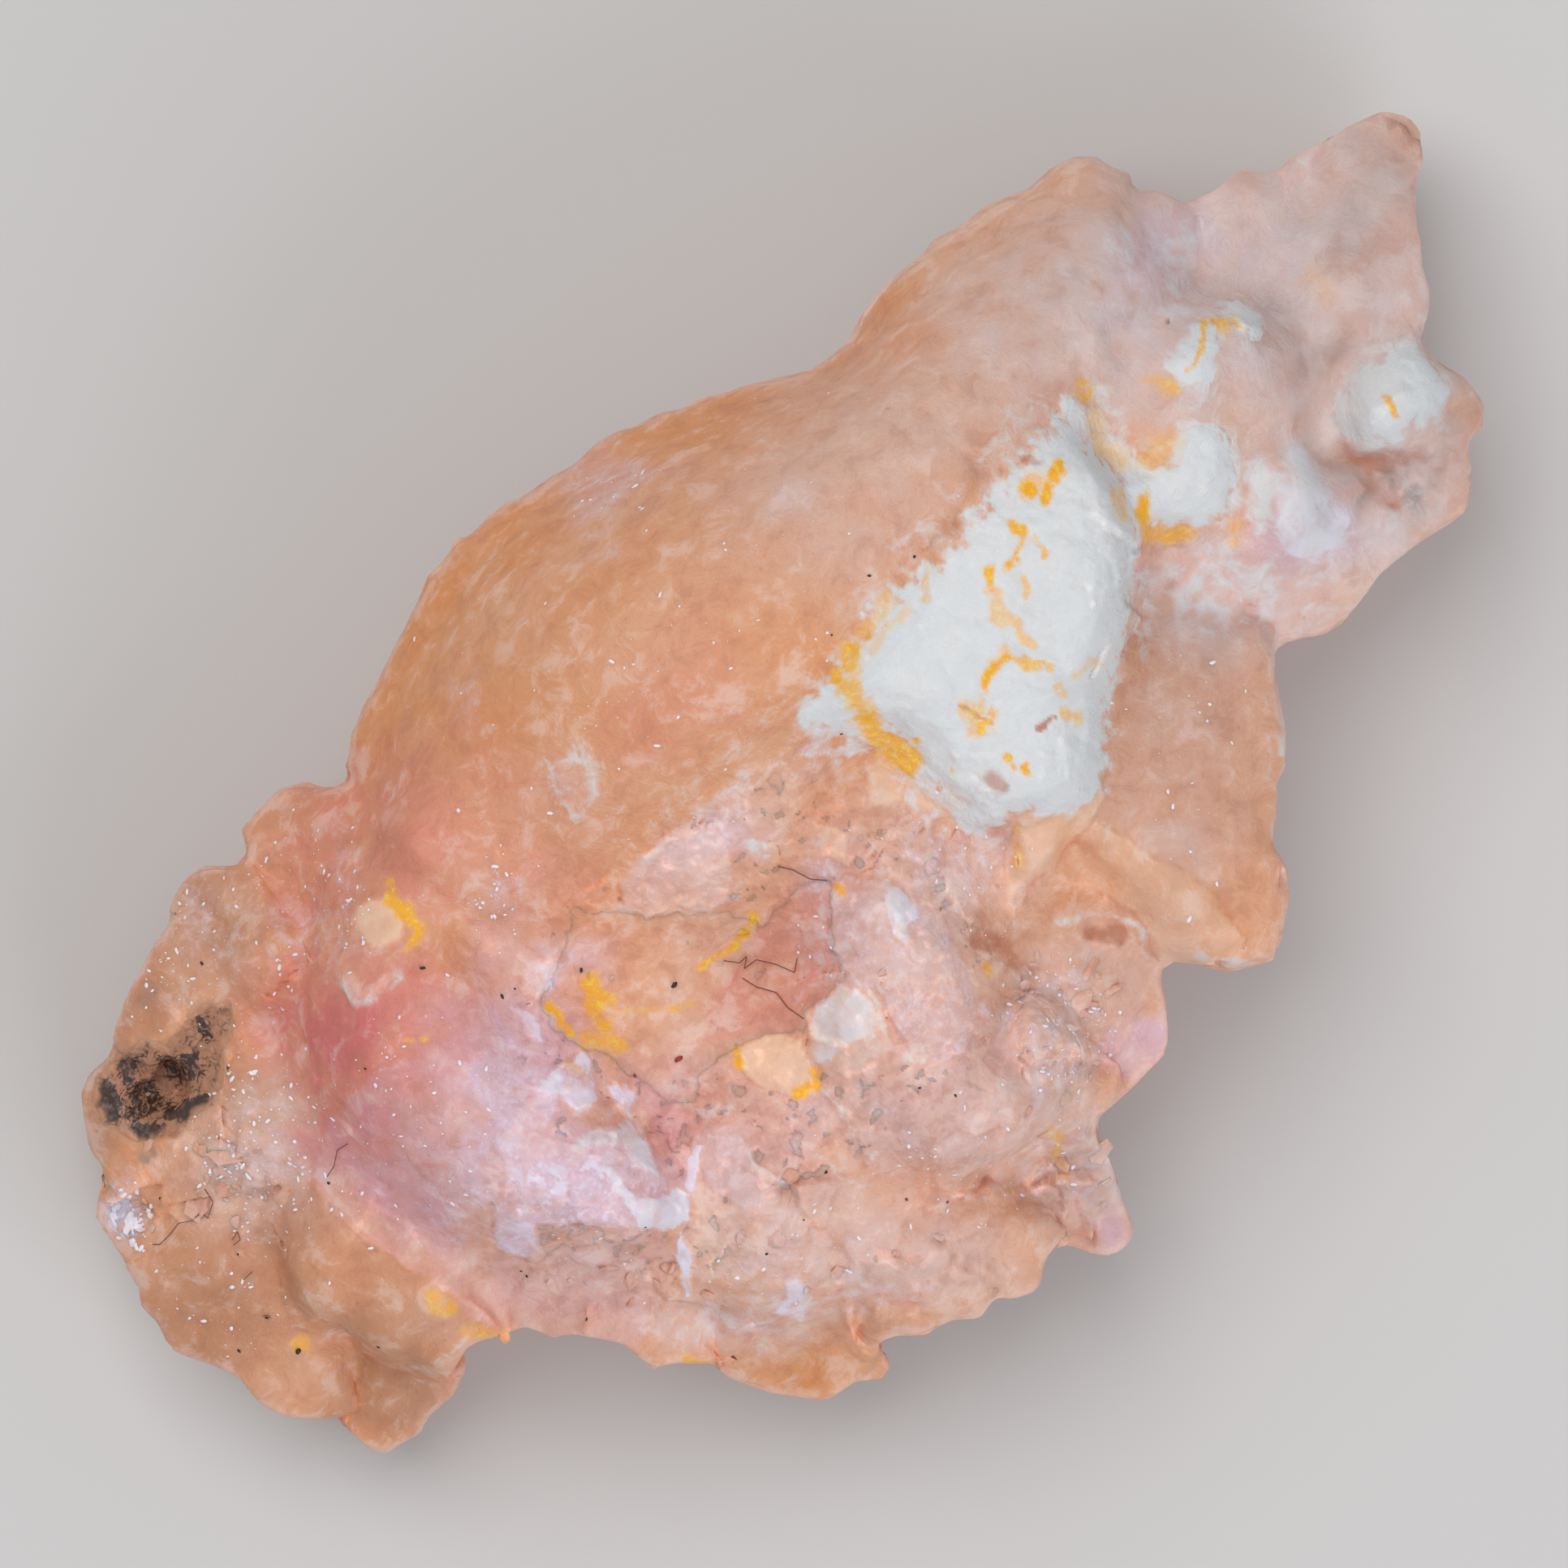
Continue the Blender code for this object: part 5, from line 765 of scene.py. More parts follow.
# Shapes that stand proud in the stone itself: (outline, rise, softness, {mark: strength}).
RAISED = (
    (PALE_LEDGE, 0.14, 0.06, {"frost": 0.5, "cream": 0.15}), (PALE_FLAKE, 0.10, 0.05, {"frost": 0.55}),
    (DISC_LIP, 0.08, 0.06, {"cream": 0.3, "frost": 0.3}), (CREAM_DISC, 0.05, 0.08, {"cream": 0.7}),
    (SHIELD, 0.03, 0.05, {"frost": 0.2}), (CREAM_WEDGE, 0.12, 0.05, {"cream": 0.45}),
    (AMBER_WEDGE, 0.12, 0.05, {"amber": 0.35, "cream": 0.3}), (FROST_RIM, 0.08, 0.06, {"frost": 0.95}),
    (FROST_SHEET, 0.06, 0.08, {"frost": 0.8}),
    (FROSTED_KNOB, 0.10, 0.12, {"frost": 0.95}), (SPLINTER_KNOB, 0.05, 0.12, {"frost": 0.6}),
    (TAN_LOBES, 0.12, 0.06, {"tan": 0.5}),
    (RECESS, -0.08, 0.06, {}), (SMOKY_HOLLOW, -0.18, 0.2, {}),
    (WHITE_ROUND, 0.09, 0.05, {"cream": 0.35, "frost": 0.5}),
    (CREAM_PATCH, 0.07, 0.05, {"cream": 0.7}), (SMALL_BIT, 0.07, 0.05, {"cream": 0.3, "frost": 0.5}),
    (WHITE_FLAKE, 0.08, 0.05, {"frost": 1.0}), (FLAKE_PATCH, 0.05, 0.04, {"frost": 1.0}),
    (WHITE_TOP, 0.02, 0.05, {"frost": 1.0}),
    (BRIGHT_PATCH, 0.06, 0.05, {"frost": 1.1}),
    (WHITE_STREAK, 0.05, 0.05, {"frost": 1.0}),
    (LAVENDER_FLAKE, 0.10, 0.05, {"frost": 0.9, "lavender": 0.4}),
    (LAVENDER_CHIP, 0.06, 0.04, {"frost": 0.9}),
    (LAVENDER_SHEET, 0.07, 0.04, {"frost": 0.75, "lavender": 0.9}),
    (MIDDLE_SHEET, 0.05, 0.04, {"frost": 0.45}), (LEFT_SHEET, 0.04, 0.05, {"frost": 0.6, "lavender": 1.0}),
    (PALE_STRIP, 0.05, 0.04, {"frost": 0.9}), (PALE_BIT, 0.05, 0.04, {"frost": 0.95}),
    (PALE_CORNER, 0.05, 0.04, {"frost": 0.85}), (FROST_LEG, 0.05, 0.04, {"frost": 0.95}),
    (ORANGE_PATCH, -0.03, 0.05, {"amber": 1.0}), (ORANGE_WEDGE, -0.04, 0.06, {"amber": 0.8}),
    (SPARKLING_FACE, 0.04, 0.05, {"frost": 0.9}), (CREAM_TONGUE, 0.03, 0.06, {"cream": 0.55}),
    (CREAM_RIDGE, 0.05, 0.04, {"cream": 0.5}),
)
CALM_SPOTS = [
    (16.5, 15.5, 7.6, 5.0, 42, 1.0), (24.0, 9.0, 4.0, 3.4, 42, 0.7), (24.2, 16.0, 3.4, 4.4, 0, 1.0),
    (29.2, 19.4, 2.2, 3.6, 0, 0.8), (32.4, 8.0, 3.6, 5.0, 0, 0.6),
]
PLAIN_SPOTS = [(16.0, 15.0, 8.0, 5.0, 42, 0.7), (32.0, 8.0, 5.0, 8.0, 0, 0.7)]
# Crusts and knobs that lie on the stone: (outline, rise, grain).
CRUSTS = (
    (WHITE_CRUST, 0.14, 0.07), (SQUARE_KNOB, 0.14, 0.04), (OVAL_KNOB, 0.12, 0.04),
    (SLANTING_KNOB, 0.08, 0.03), (TALL_KNOB, 0.08, 0.03), (DOT_KNOB, 0.03, 0.02),
)
# Colours that patch the sides and the underside: (mark, most strength).
HIDDEN_COLOURS = (
    ("beige", 0.7), ("rose", 0.35), ("amber", 0.6), ("grey", 0.5), ("lavender", 0.3), ("frost", 0.45),
)


# ---------------------------------------------------------------- sizes and colours a user would change

class QuartzSizes(bpy.types.PropertyGroup):
    """Sizes of the dressed cluster."""

    mesh_size: FloatProperty(
        name="Mesh size", description="Spacing of the stone's surface mesh",
        default=0.000115, unit="LENGTH")
    triangles: IntProperty(
        name="Triangles", description="The stone's hidden side is thinned to come down to this",
        default=196000)
    skin_step: FloatProperty(
        name="Skin step", description="Spacing of the mesh of crusts and flakes",
        default=0.00006, unit="LENGTH")
    relief: FloatProperty(
        name="Relief", description="How strongly broken ground stands up; 1 is the real stone's",
        default=1.0, subtype="FACTOR")
    chips: IntProperty(
        name="Chips", description="The most broken chips that may stand on rough ground", default=700)
    # glints are painted highlights: near-white flecks in place of sparkle
    glints: IntProperty(
        name="Glints", description="The most small bright faces that may lie on frosted ground",
        default=3600)
    fibre: FloatProperty(
        name="Fibre", description="Radius of a lint fibre", default=0.000013, unit="LENGTH")
    seed: IntProperty(name="Seed", description="Starts the random breaks and grains", default=11)


def colour_property(name, description, value):
    return FloatVectorProperty(name=name, description=description, default=value, subtype="COLOR")


class QuartzColours(bpy.types.PropertyGroup):
    """Colours of the cluster's parts."""

    peach: colour_property("Peach", "The dome", (0.71, 0.32, 0.16))
    # amber is the wedge's own colour; along thin rims it is painted glow of light through the stone
    amber: colour_property("Amber", "Thin rims and the wedge", (0.72, 0.27, 0.08))
    rose: colour_property("Rose", "The deepest pink", (0.67, 0.17, 0.16))
    # lavender: partly the stone's own pink, partly a painted cool reflection
    lavender: colour_property("Lavender", "The frosted pink", (0.68, 0.44, 0.53))
    grey: colour_property("Grey", "The far mass", (0.65, 0.52, 0.50))
    tan: colour_property("Tan", "The low left lobes", (0.52, 0.23, 0.12))
    beige: colour_property("Beige", "The broken ground", (0.69, 0.45, 0.39))
    shade: colour_property("Shade", "Grey-brown mottling in clear ground", (0.28, 0.20, 0.17))
    # frost is partly the whiteness of frosted breaks and partly a painted cool sheen, highlights laid into
    # the colour
    frost: colour_property("Frost", "Frosted breaks and glints", (0.74, 0.68, 0.80))
    cream: colour_property("Cream", "Cream skins", (0.90, 0.62, 0.42))
    white: colour_property("White", "The crust", (0.69, 0.71, 0.72))
    gold: colour_property("Gold", "Iron stains", (0.88, 0.41, 0.01))
    rust: colour_property("Rust", "Brown cracks and pockets", (0.42, 0.13, 0.05))
    smoke: colour_property("Smoke", "Inclusions in the clear crystal", (0.045, 0.018, 0.012))
    dust: colour_property("Dust", "Dark specks", (0.02, 0.008, 0.006))
    red: colour_property("Red", "Red specks", (0.30, 0.02, 0.01))


def sizes():
    return bpy.context.scene.quartz_sizes


def colours():
    return bpy.context.scene.quartz_colours


# ---------------------------------------------------------------- making and placing pieces

def add_piece(name, mesh, material, flat=False):
    """Link a finished mesh as a piece of the dressed cluster."""
    piece = bpy.data.objects.new(name, mesh)
    bpy.context.scene.collection.objects.link(piece)
    mesh.materials.clear()
    mesh.materials.append(material)
    if flat:
        mesh.shade_flat()
    else:
        mesh.shade_smooth()
    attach(piece, BODY)
    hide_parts(NODE)
    return piece


def applied(mesh, kind, weights=None, **settings):
    """The mesh that one modifier makes of a mesh, with vertex weights for it when it wants them."""
    holder = bpy.data.objects.new("holder", mesh)
    bpy.context.scene.collection.objects.link(holder)
    if weights is not None:
        group = holder.vertex_groups.new(name="keep")
        for level in np.unique(weights):
            group.add(np.flatnonzero(weights == level).tolist(), float(level), "REPLACE")
        settings["vertex_group"] = group.name
    modifier = holder.modifiers.new(kind.lower(), kind)
    for key, value in settings.items():
        setattr(modifier, key, value)
    graph = bpy.context.evaluated_depsgraph_get()
    result = bpy.data.meshes.new_from_object(holder.evaluated_get(graph))
    bpy.data.objects.remove(holder)
    return result


def finished_mesh(bm, name):
    mesh = bpy.data.meshes.new(name)
    bm.to_mesh(mesh)
    bm.free()
    return mesh


def add_weights(mesh, name, values):
    """Store one number for each vertex under a name that a material can read."""
    layer = mesh.attributes.new(name, "FLOAT", "POINT")
    layer.data.foreach_set("value", np.asarray(values, np.float32))


def bed_of(mesh):
    """A tree that finds where a line meets a mesh."""
    bm = bmesh.new()
    bm.from_mesh(mesh)
    tree = BVHTree.FromBMesh(bm)
    bm.free()
    return tree


def dropped(tree, sheet):
    """The heights and normals of the bed straight below each sheet point; misses give a height of -1."""
    heights = np.full(len(sheet), -1.0)
    normals = np.tile((0.0, 0.0, 1.0), (len(sheet), 1))
    down = Vector((0.0, 0.0, -1.0))
    for i, point in enumerate(to_part(sheet)):
        place, normal, _, _ = tree.ray_cast(Vector((point[0], point[1], DROP_HEIGHT)), down)
        if place is not None:
            heights[i] = place.z / MM
            normals[i] = normal
    return heights, normals


# ---------------------------------------------------------------- materials

class Finish:
    """A material on a Principled shader, with short calls for the nodes that the finishes use."""

    def __init__(self, name, roughness):
        self.material = bpy.data.materials.new(name)
        self.material.use_nodes = True
        self.nodes = self.material.node_tree.nodes
        self.links = self.material.node_tree.links
        self.shader = self.nodes["Principled BSDF"]
        self.set("Roughness", roughness)
        self.set("IOR", QUARTZ_IOR)
        source = self.nodes.new("ShaderNodeTexCoord")
        in_millimetres = self.nodes.new("ShaderNodeMapping")
        in_millimetres.inputs["Scale"].default_value = (1 / MM,) * 3
        self.links.new(source.outputs["Object"], in_millimetres.inputs["Vector"])
        self.place = in_millimetres.outputs["Vector"]

    def feed(self, target, value):
        """Give a socket a number, a colour or a node's output."""
        if isinstance(value, bpy.types.NodeSocket):
            self.links.new(value, target)
        elif target.type == "RGBA":
            target.default_value = (*value[:3], 1.0)
        else:
            target.default_value = value

    def set(self, socket, value):
        self.feed(self.shader.inputs[socket], value)

    def noise(self, size, detail=3.0, roughness=0.55, distortion=0.0):
        """Cloudy noise from 0 to 1 whose lumps are size millimetres across."""
        node = self.nodes.new("ShaderNodeTexNoise")
        self.links.new(self.place, node.inputs["Vector"])
        node.inputs["Scale"].default_value = 1.0 / size
        node.inputs["Detail"].default_value = detail
        node.inputs["Roughness"].default_value = roughness
        node.inputs["Distortion"].default_value = distortion
        return node.outputs[0]

    def weight(self, name):
        """A number stored on the mesh."""
        node = self.nodes.new("ShaderNodeAttribute")
        node.attribute_name = name
        return node.outputs["Fac"]

    def math(self, operation, first, second=0.0):
        node = self.nodes.new("ShaderNodeMath")
        node.operation = operation
        self.feed(node.inputs[0], first)
        self.feed(node.inputs[1], second)
        return node.outputs[0]

    def span(self, value, low, high, to_low=0.0, to_high=1.0):
        """Map a value from one range to another with soft ends."""
        node = self.nodes.new("ShaderNodeMapRange")
        node.interpolation_type = "SMOOTHSTEP"
        self.feed(node.inputs["Value"], value)
        node.inputs["From Min"].default_value = low
        node.inputs["From Max"].default_value = high
        node.inputs["To Min"].default_value = to_low
        node.inputs["To Max"].default_value = to_high
        return node.outputs["Result"]

    def blend(self, amount, below, above):
        """Lay one colour over another."""
        node = self.nodes.new("ShaderNodeMix")
        node.data_type = "RGBA"
        self.feed(node.inputs[0], amount)
        self.feed(node.inputs[6], below)
        self.feed(node.inputs[7], above)
        return node.outputs[2]

    def bump(self, height, distance, below=None):
        """Fine relief of distance millimetres."""
        node = self.nodes.new("ShaderNodeBump")
        node.inputs["Distance"].default_value = distance * MM
        self.links.new(height, node.inputs["Height"])
        if below is not None:
            self.links.new(below, node.inputs["Normal"])
        return node.outputs["Normal"]

    def glow(self, weight, radius, depth):
        """Light that spreads depth millimetres under the surface."""
        self.shader.subsurface_method = "BURLEY"
        self.set("Subsurface Weight", weight)
        self.set("Subsurface Radius", radius)
        self.set("Subsurface Scale", depth * MM)


ZONES = ("amber", "grey", "beige", "tan", "rose", "lavender", "shade")


def stone_finish(name, depth, roughness=0.5, ripple=0.08):
    """Translucent rose quartz: cloudy peach, with every colour zone laid over it by its stored weight."""
    tint = colours()
    finish = Finish(name, roughness=roughness)
    grain = finish.noise(0.16, 3.0, 0.7)
    mottle = finish.noise(0.7, 5.0, 0.72, 0.5)
    calm = finish.span(finish.weight("grey"), 0.0, 1.0, 1.0, 0.4)
    cloudy = finish.math("MULTIPLY", finish.span(mottle, 0.3, 0.7, -0.35, 0.35), calm)
    veils = finish.math("ADD", finish.weight("veils"), cloudy)
    colour = finish.blend(finish.weight("clouds"), tint.peach, PALE_CLOUDS)
    for zone_name in ZONES:
        colour = finish.blend(finish.weight(zone_name), colour, getattr(tint, zone_name))
    # light veils; along the rim they carry the painted edge glow
    colour = finish.blend(finish.span(veils, 0.45, 1.0, 0.0, 0.3), colour, LIGHT_VEILS_AND_EDGE_GLOW)
    colour = finish.blend(finish.span(veils, 0.45, 0.0, 0.0, 0.3), colour, DARK_VEILS)
    # frosted ground in grainy specks: partly its whitish colour, partly painted cool sheen and glints
    speckle = finish.span(grain, 0.5, 0.66, 0.35, 1.0)
    speckle = finish.math("MAXIMUM", speckle, finish.span(finish.weight("frost"), 0.65, 0.95))
    frost = finish.math("MULTIPLY", speckle, finish.weight("frost"))
    colour = finish.blend(frost, colour, tint.frost)
    colour = finish.blend(finish.weight("cream"), colour, tint.cream)
    whiteness = finish.math("ADD", finish.weight("white"), finish.span(mottle, 0.35, 0.65, -0.22, 0.12))
    colour = finish.blend(finish.span(whiteness, 0.0, 0.85), colour, tint.white)
    colour = finish.blend(finish.weight("rust"), colour, tint.rust)
    stain = finish.blend(finish.span(grain, 0.5, 0.62), tint.gold, BRIGHT_GOLD)
    colour = finish.blend(finish.weight("gold"), colour, stain)
    finish.set("Base Color", colour)
    finish.glow(finish.span(finish.weight("seam"), 0.0, 1.0, 0.8, 0.0), (1.0, 0.5, 0.35), depth)
    finish.set("Transmission Weight", finish.math("MULTIPLY", finish.weight("clear"), 0.15))
    finish.set("Roughness", finish.span(frost, 0.0, 1.0, roughness, 0.75))
    finish.set("Normal", finish.bump(grain, 0.03, finish.bump(mottle, ripple)))
    return finish.material


def smoke_finish():
    """Dark crackle with tan threads under a clear, glossy face."""
    tint = colours()
    finish = Finish("smoky_crackle", roughness=0.35)
    finish.set("Coat Weight", 0.35)
    finish.set("Coat Roughness", 0.15)
    threads = finish.noise(0.32, 4.0, 0.7, 2.5)
    dark = finish.math("ADD", finish.weight("dark"), finish.span(threads, 0.4, 0.62, -0.4, 0.55))
    colour = finish.blend(finish.span(dark, 0.15, 0.75), TAN_THREADS, tint.smoke)
    colour = finish.blend(finish.weight("edge"), colour, TAN_EDGE)
    finish.set("Base Color", colour)
    finish.set("Normal", finish.bump(threads, 0.06))
    return finish.material


def plain_finish(name, colour, roughness=0.5):
    finish = Finish(name, roughness=roughness)
    finish.set("Base Color", colour)
    return finish.material


# ---------------------------------------------------------------- painting

def drawn_on(sheet):
    """The sheet points shifted for drawing, so that an outline wanders alike on every piece it crosses."""
    return wandering(sheet, EDGE_WANDER, EDGE_LUMPS, sizes().seed + 12)


def strokes(sheet, listed, wander):
    """The strongest of several strokes (path, half width, strength), their edges wandering with a noise."""
    result = np.zeros(len(sheet))
    for path, half_width, strength in listed:
        corners = np.array(path, float)
        low, high = corners.min(0) - 2 * half_width, corners.max(0) + 2 * half_width
        near = np.all((sheet[:, :2] > low) & (sheet[:, :2] < high), axis=1)
        away = path_distance(sheet[near], path) / half_width + 0.5 * wander[near]
        result[near] = np.maximum(result[near], strength * smooth(away, 1.5, 0.5))
    return result


def zone(sheet, outline, strength=1.0, softness=0.15):
    return strength * smooth(inside_distance(sheet, outline), -softness, softness)


def seams(sheet):
    """How near each point lies to the edge of a skin, where covered ground would darken the glow."""
    near = np.zeros(len(sheet))
    for outline in (MIDDLE, *(crust[0] for crust in CRUSTS)):
        near = np.maximum(near, smooth(np.abs(inside_distance(sheet, outline)), 0.6, 0.25))
    return near


def paint(mesh, sheet):
    """Store where each colour lies."""
    seed = sizes().seed
    rough = np.maximum(0.2, spots(sheet, ROUGH_SPOTS))
    rough = np.maximum(rough, zone(sheet, MIDDLE, 0.8, 0.3))
    tones = sum(
        share * shards(sheet, cell, seed + number)[1][:, 2]
        for number, (cell, share) in enumerate(zip(SHARD_CELLS, (0.4, 0.6, 0.7))))
    veils = 0.7 * fractal(sheet, 1.1, seed + 5, 5) + rough * tones
    wander = fractal(sheet, 0.35, seed + 6, 4)
    shift = 0.9 + 0.35 * fractal(sheet, 0.8, seed + 7, 4)
    wide = wandering(sheet, 0.5, 2.0, seed + 9)
    drawn = drawn_on(sheet)
    painted_amber_rim_glow = 0.85 * smooth(path_distance(wide, AMBER_RIM_GLOW), 2.2, 0.4)
    marked = {
        "amber": np.maximum(spots(wide, AMBER_SPOTS), painted_amber_rim_glow),
        "grey": spots(wide, GREY_SPOTS),
        "beige": spots(wide, BEIGE_SPOTS),
        "tan": spots(wide, TAN_SPOTS),
        "rose": np.maximum(spots(wide, ROSE_SPOTS), np.maximum(
            zone(drawn, MAUVE_FLOOR, 0.32, 0.08), zone(drawn, RED_FLOOR, 0.4, 0.1))),
        "lavender": np.maximum(spots(wide, LAVENDER_SPOTS), zone(drawn, PINK_SHEET, 0.3, 0.05)),
        "frost": spots(wide, FROST_AND_SHEEN_SPOTS) * smooth(sheet[:, 2], 0.4, 1.6) * smooth(wander, -0.35, 0.3),
        "cream": np.zeros(len(sheet)),
        "shade": spots(wide, SHADE_SPOTS) * smooth(wander, -0.4, 0.35),
    }
    for outline, _, softness, marks in RAISED:
        for name, strength in marks.items():
            marked[name] = np.maximum(marked[name], zone(drawn, outline, strength, softness))
    away = smooth(read_normals(mesh)[:, 2], 0.25, -0.15)
    away = relax(np.column_stack((away,) * 3), read_edges(mesh), np.full(len(sheet), 0.5), 12)[:, 0]
    for number, (name, most) in enumerate(HIDDEN_COLOURS):
        patches = most * smooth(fractal(sheet, 2.6, seed + 20 + number, 5), -0.1, 0.4)
        marked[name] = marked[name] * (1.0 - away) + patches * away
    for name in ("cream", "shade", "tan"):
        marked[name] = marked[name] * (1.0 - away)
    for name, weight in marked.items():
        marked[name] = np.clip(weight * shift, 0.0, 1.0)
    marked["clear"] = spots(wide, CLEAR_SPOTS) * (1.0 - away)
    marked["clouds"] = 0.4 * smooth(fractal(sheet, 2.8, seed + 8, 3), -0.5, 0.7)
    # the thin rim all round is painted lighter: a painted glow of light through the thin stone, laid on the
    # light veils
    painted_edge_glow = smooth(np.abs(inside_distance(sheet, RIM)), 0.45, 0.05) * (1.0 - away)
    marked["veils"] = np.clip(0.45 + 0.4 * veils + 0.5 * painted_edge_glow, 0.0, 1.0)
    haze = spots(wide, HAZE_SPOTS) * smooth(wander, -0.5, 0.4)
    white = np.maximum(0.6 * strokes(drawn, WHITE_VEINS, wander), haze)
    for outline, strength, softness in WHITE_PATCHES:
        patch = smooth(inside_distance(drawn, outline) + softness * wander, -softness, softness)
        white = np.maximum(white, strength * patch)
    margin = path_distance(drawn, THIN_MARGIN) + 0.5 * wander
    white *= 1.0 - 0.75 * smooth(margin, 0.9, 0.1)
    stained = strokes(drawn, GOLD_STAINS, wander) * smooth(fractal(sheet, 0.3, seed + 14, 4), -1.2, -0.1)
    marked["white"] = white * (1.0 - away)
    marked["rust"] = strokes(drawn, BROWN_CRACKS, wander) * (1.0 - away)
    marked["gold"] = stained * (1.0 - away)
    marked["seam"] = seams(drawn)
    for name, weight in marked.items():
        add_weights(mesh, name, weight)


# ---------------------------------------------------------------- the stone

def fitted_to_rim(sheet, normals):
    """Spread the sides a little and hold them to the drawn rim, so that its ripples show all round."""
    inside = inside_distance(sheet, RIM)
    level = np.hypot(*normals[:, :2].T)
    flat = normals[:, :2] / np.maximum(level, 1e-6)[:, None]
    high = smooth(sheet[:, 2], 1.2, 2.6) * smooth(sheet[:, 2], 8.5, 5.5)
    moved = sheet.copy()
    spread = np.clip(inside + 0.1, 0.0, 0.8) * smooth(level, 0.5, 0.9) * smooth(inside, 1.6, 0.8)
    moved[:, :2] += flat * (spread * high)[:, None]
    inside = inside_distance(moved, RIM)
    softness = 0.12
    wanted = softness * np.log1p(np.exp(np.clip(inside / softness, -40, 40)))
    pull = np.where(inside < 0.6, wanted - inside, 0.0)
    near = np.flatnonzero(pull > 0.003)
    points = moved[near, :2]
    best = np.full(len(near), np.inf)
    foot = np.zeros((len(near), 2))
    corners = np.array(RIM, float)
    for start, end in zip(corners, np.roll(corners, -1, axis=0)):
        along = end - start
        share = np.clip((points - start) @ along / (along @ along), 0.0, 1.0)
        candidate = start + share[:, None] * along
        away = np.hypot(*(points - candidate).T)
        closer = away < best
        best[closer] = away[closer]
        foot[closer] = candidate[closer]
    sign = np.where(inside[near] >= 0, 1.0, -1.0)
    direction = sign[:, None] * (points - foot) / np.maximum(best, 1e-6)[:, None]
    moved[near, :2] = points + direction * pull[near, None]
    return moved


def proud(sheet):
    """How far the drawn shapes stand up from the stone or sink into it, in millimetres."""
    drawn = drawn_on(sheet)
    height = zone(drawn, PINK_SHEET, 0.12, 0.05) * smooth(path_distance(drawn, PINK_EDGE), 2.4, 0.3)
    for outline, rise, softness, _ in RAISED:
        height += zone(drawn, outline, rise, softness)
    return height


def broken_sides(mesh, sheet, resting):
    """Cut flat breaks into the steep sides and the underside, always inwards: the rim keeps its line."""
    seed = sizes().seed
    write_points(mesh, to_part(sheet))
    normals = read_normals(mesh)
    placed = to_part(sheet)
    turned = to_sheet(placed + normals * MM) - sheet
    across = (placed[:, 0] + 0.6 * placed[:, 1]) / MM
    climb = sheet[:, 2] * 1.6 + 4.0 + 8.0 * (placed[:, 1] > 0)
    unrolled = np.column_stack((across % 38.0, climb, np.zeros(len(sheet))))
    below = np.column_stack((sheet[:, 0], sheet[:, 1], np.zeros(len(sheet))))
    steep = smooth(np.abs(normals[:, 2]), 0.8, 0.4)
    cuts = shard_relief(unrolled, 2.2, 0.26, 0.16, seed + 17)
    cuts = cuts + shard_relief(unrolled, 0.8, 0.26, 0.05, seed + 18)
    cuts = cuts * steep + shard_relief(below, 1.4, 0.3, 0.12, seed + 19) * (1.0 - steep)
    cuts += 0.06 * fractal(sheet, 0.9, seed + 20, 4) - 0.12
    away = smooth(normals[:, 2], 0.3, -0.05)
    depth = np.clip(cuts, -0.6, 0.0) * away * smooth(sheet[:, 2], 0.2, 1.2)
    sheet = sheet + turned * depth[:, None]
    share = np.where(resting, 0.0, 0.35 * away)
    return relax(sheet, read_edges(mesh), share, 2)


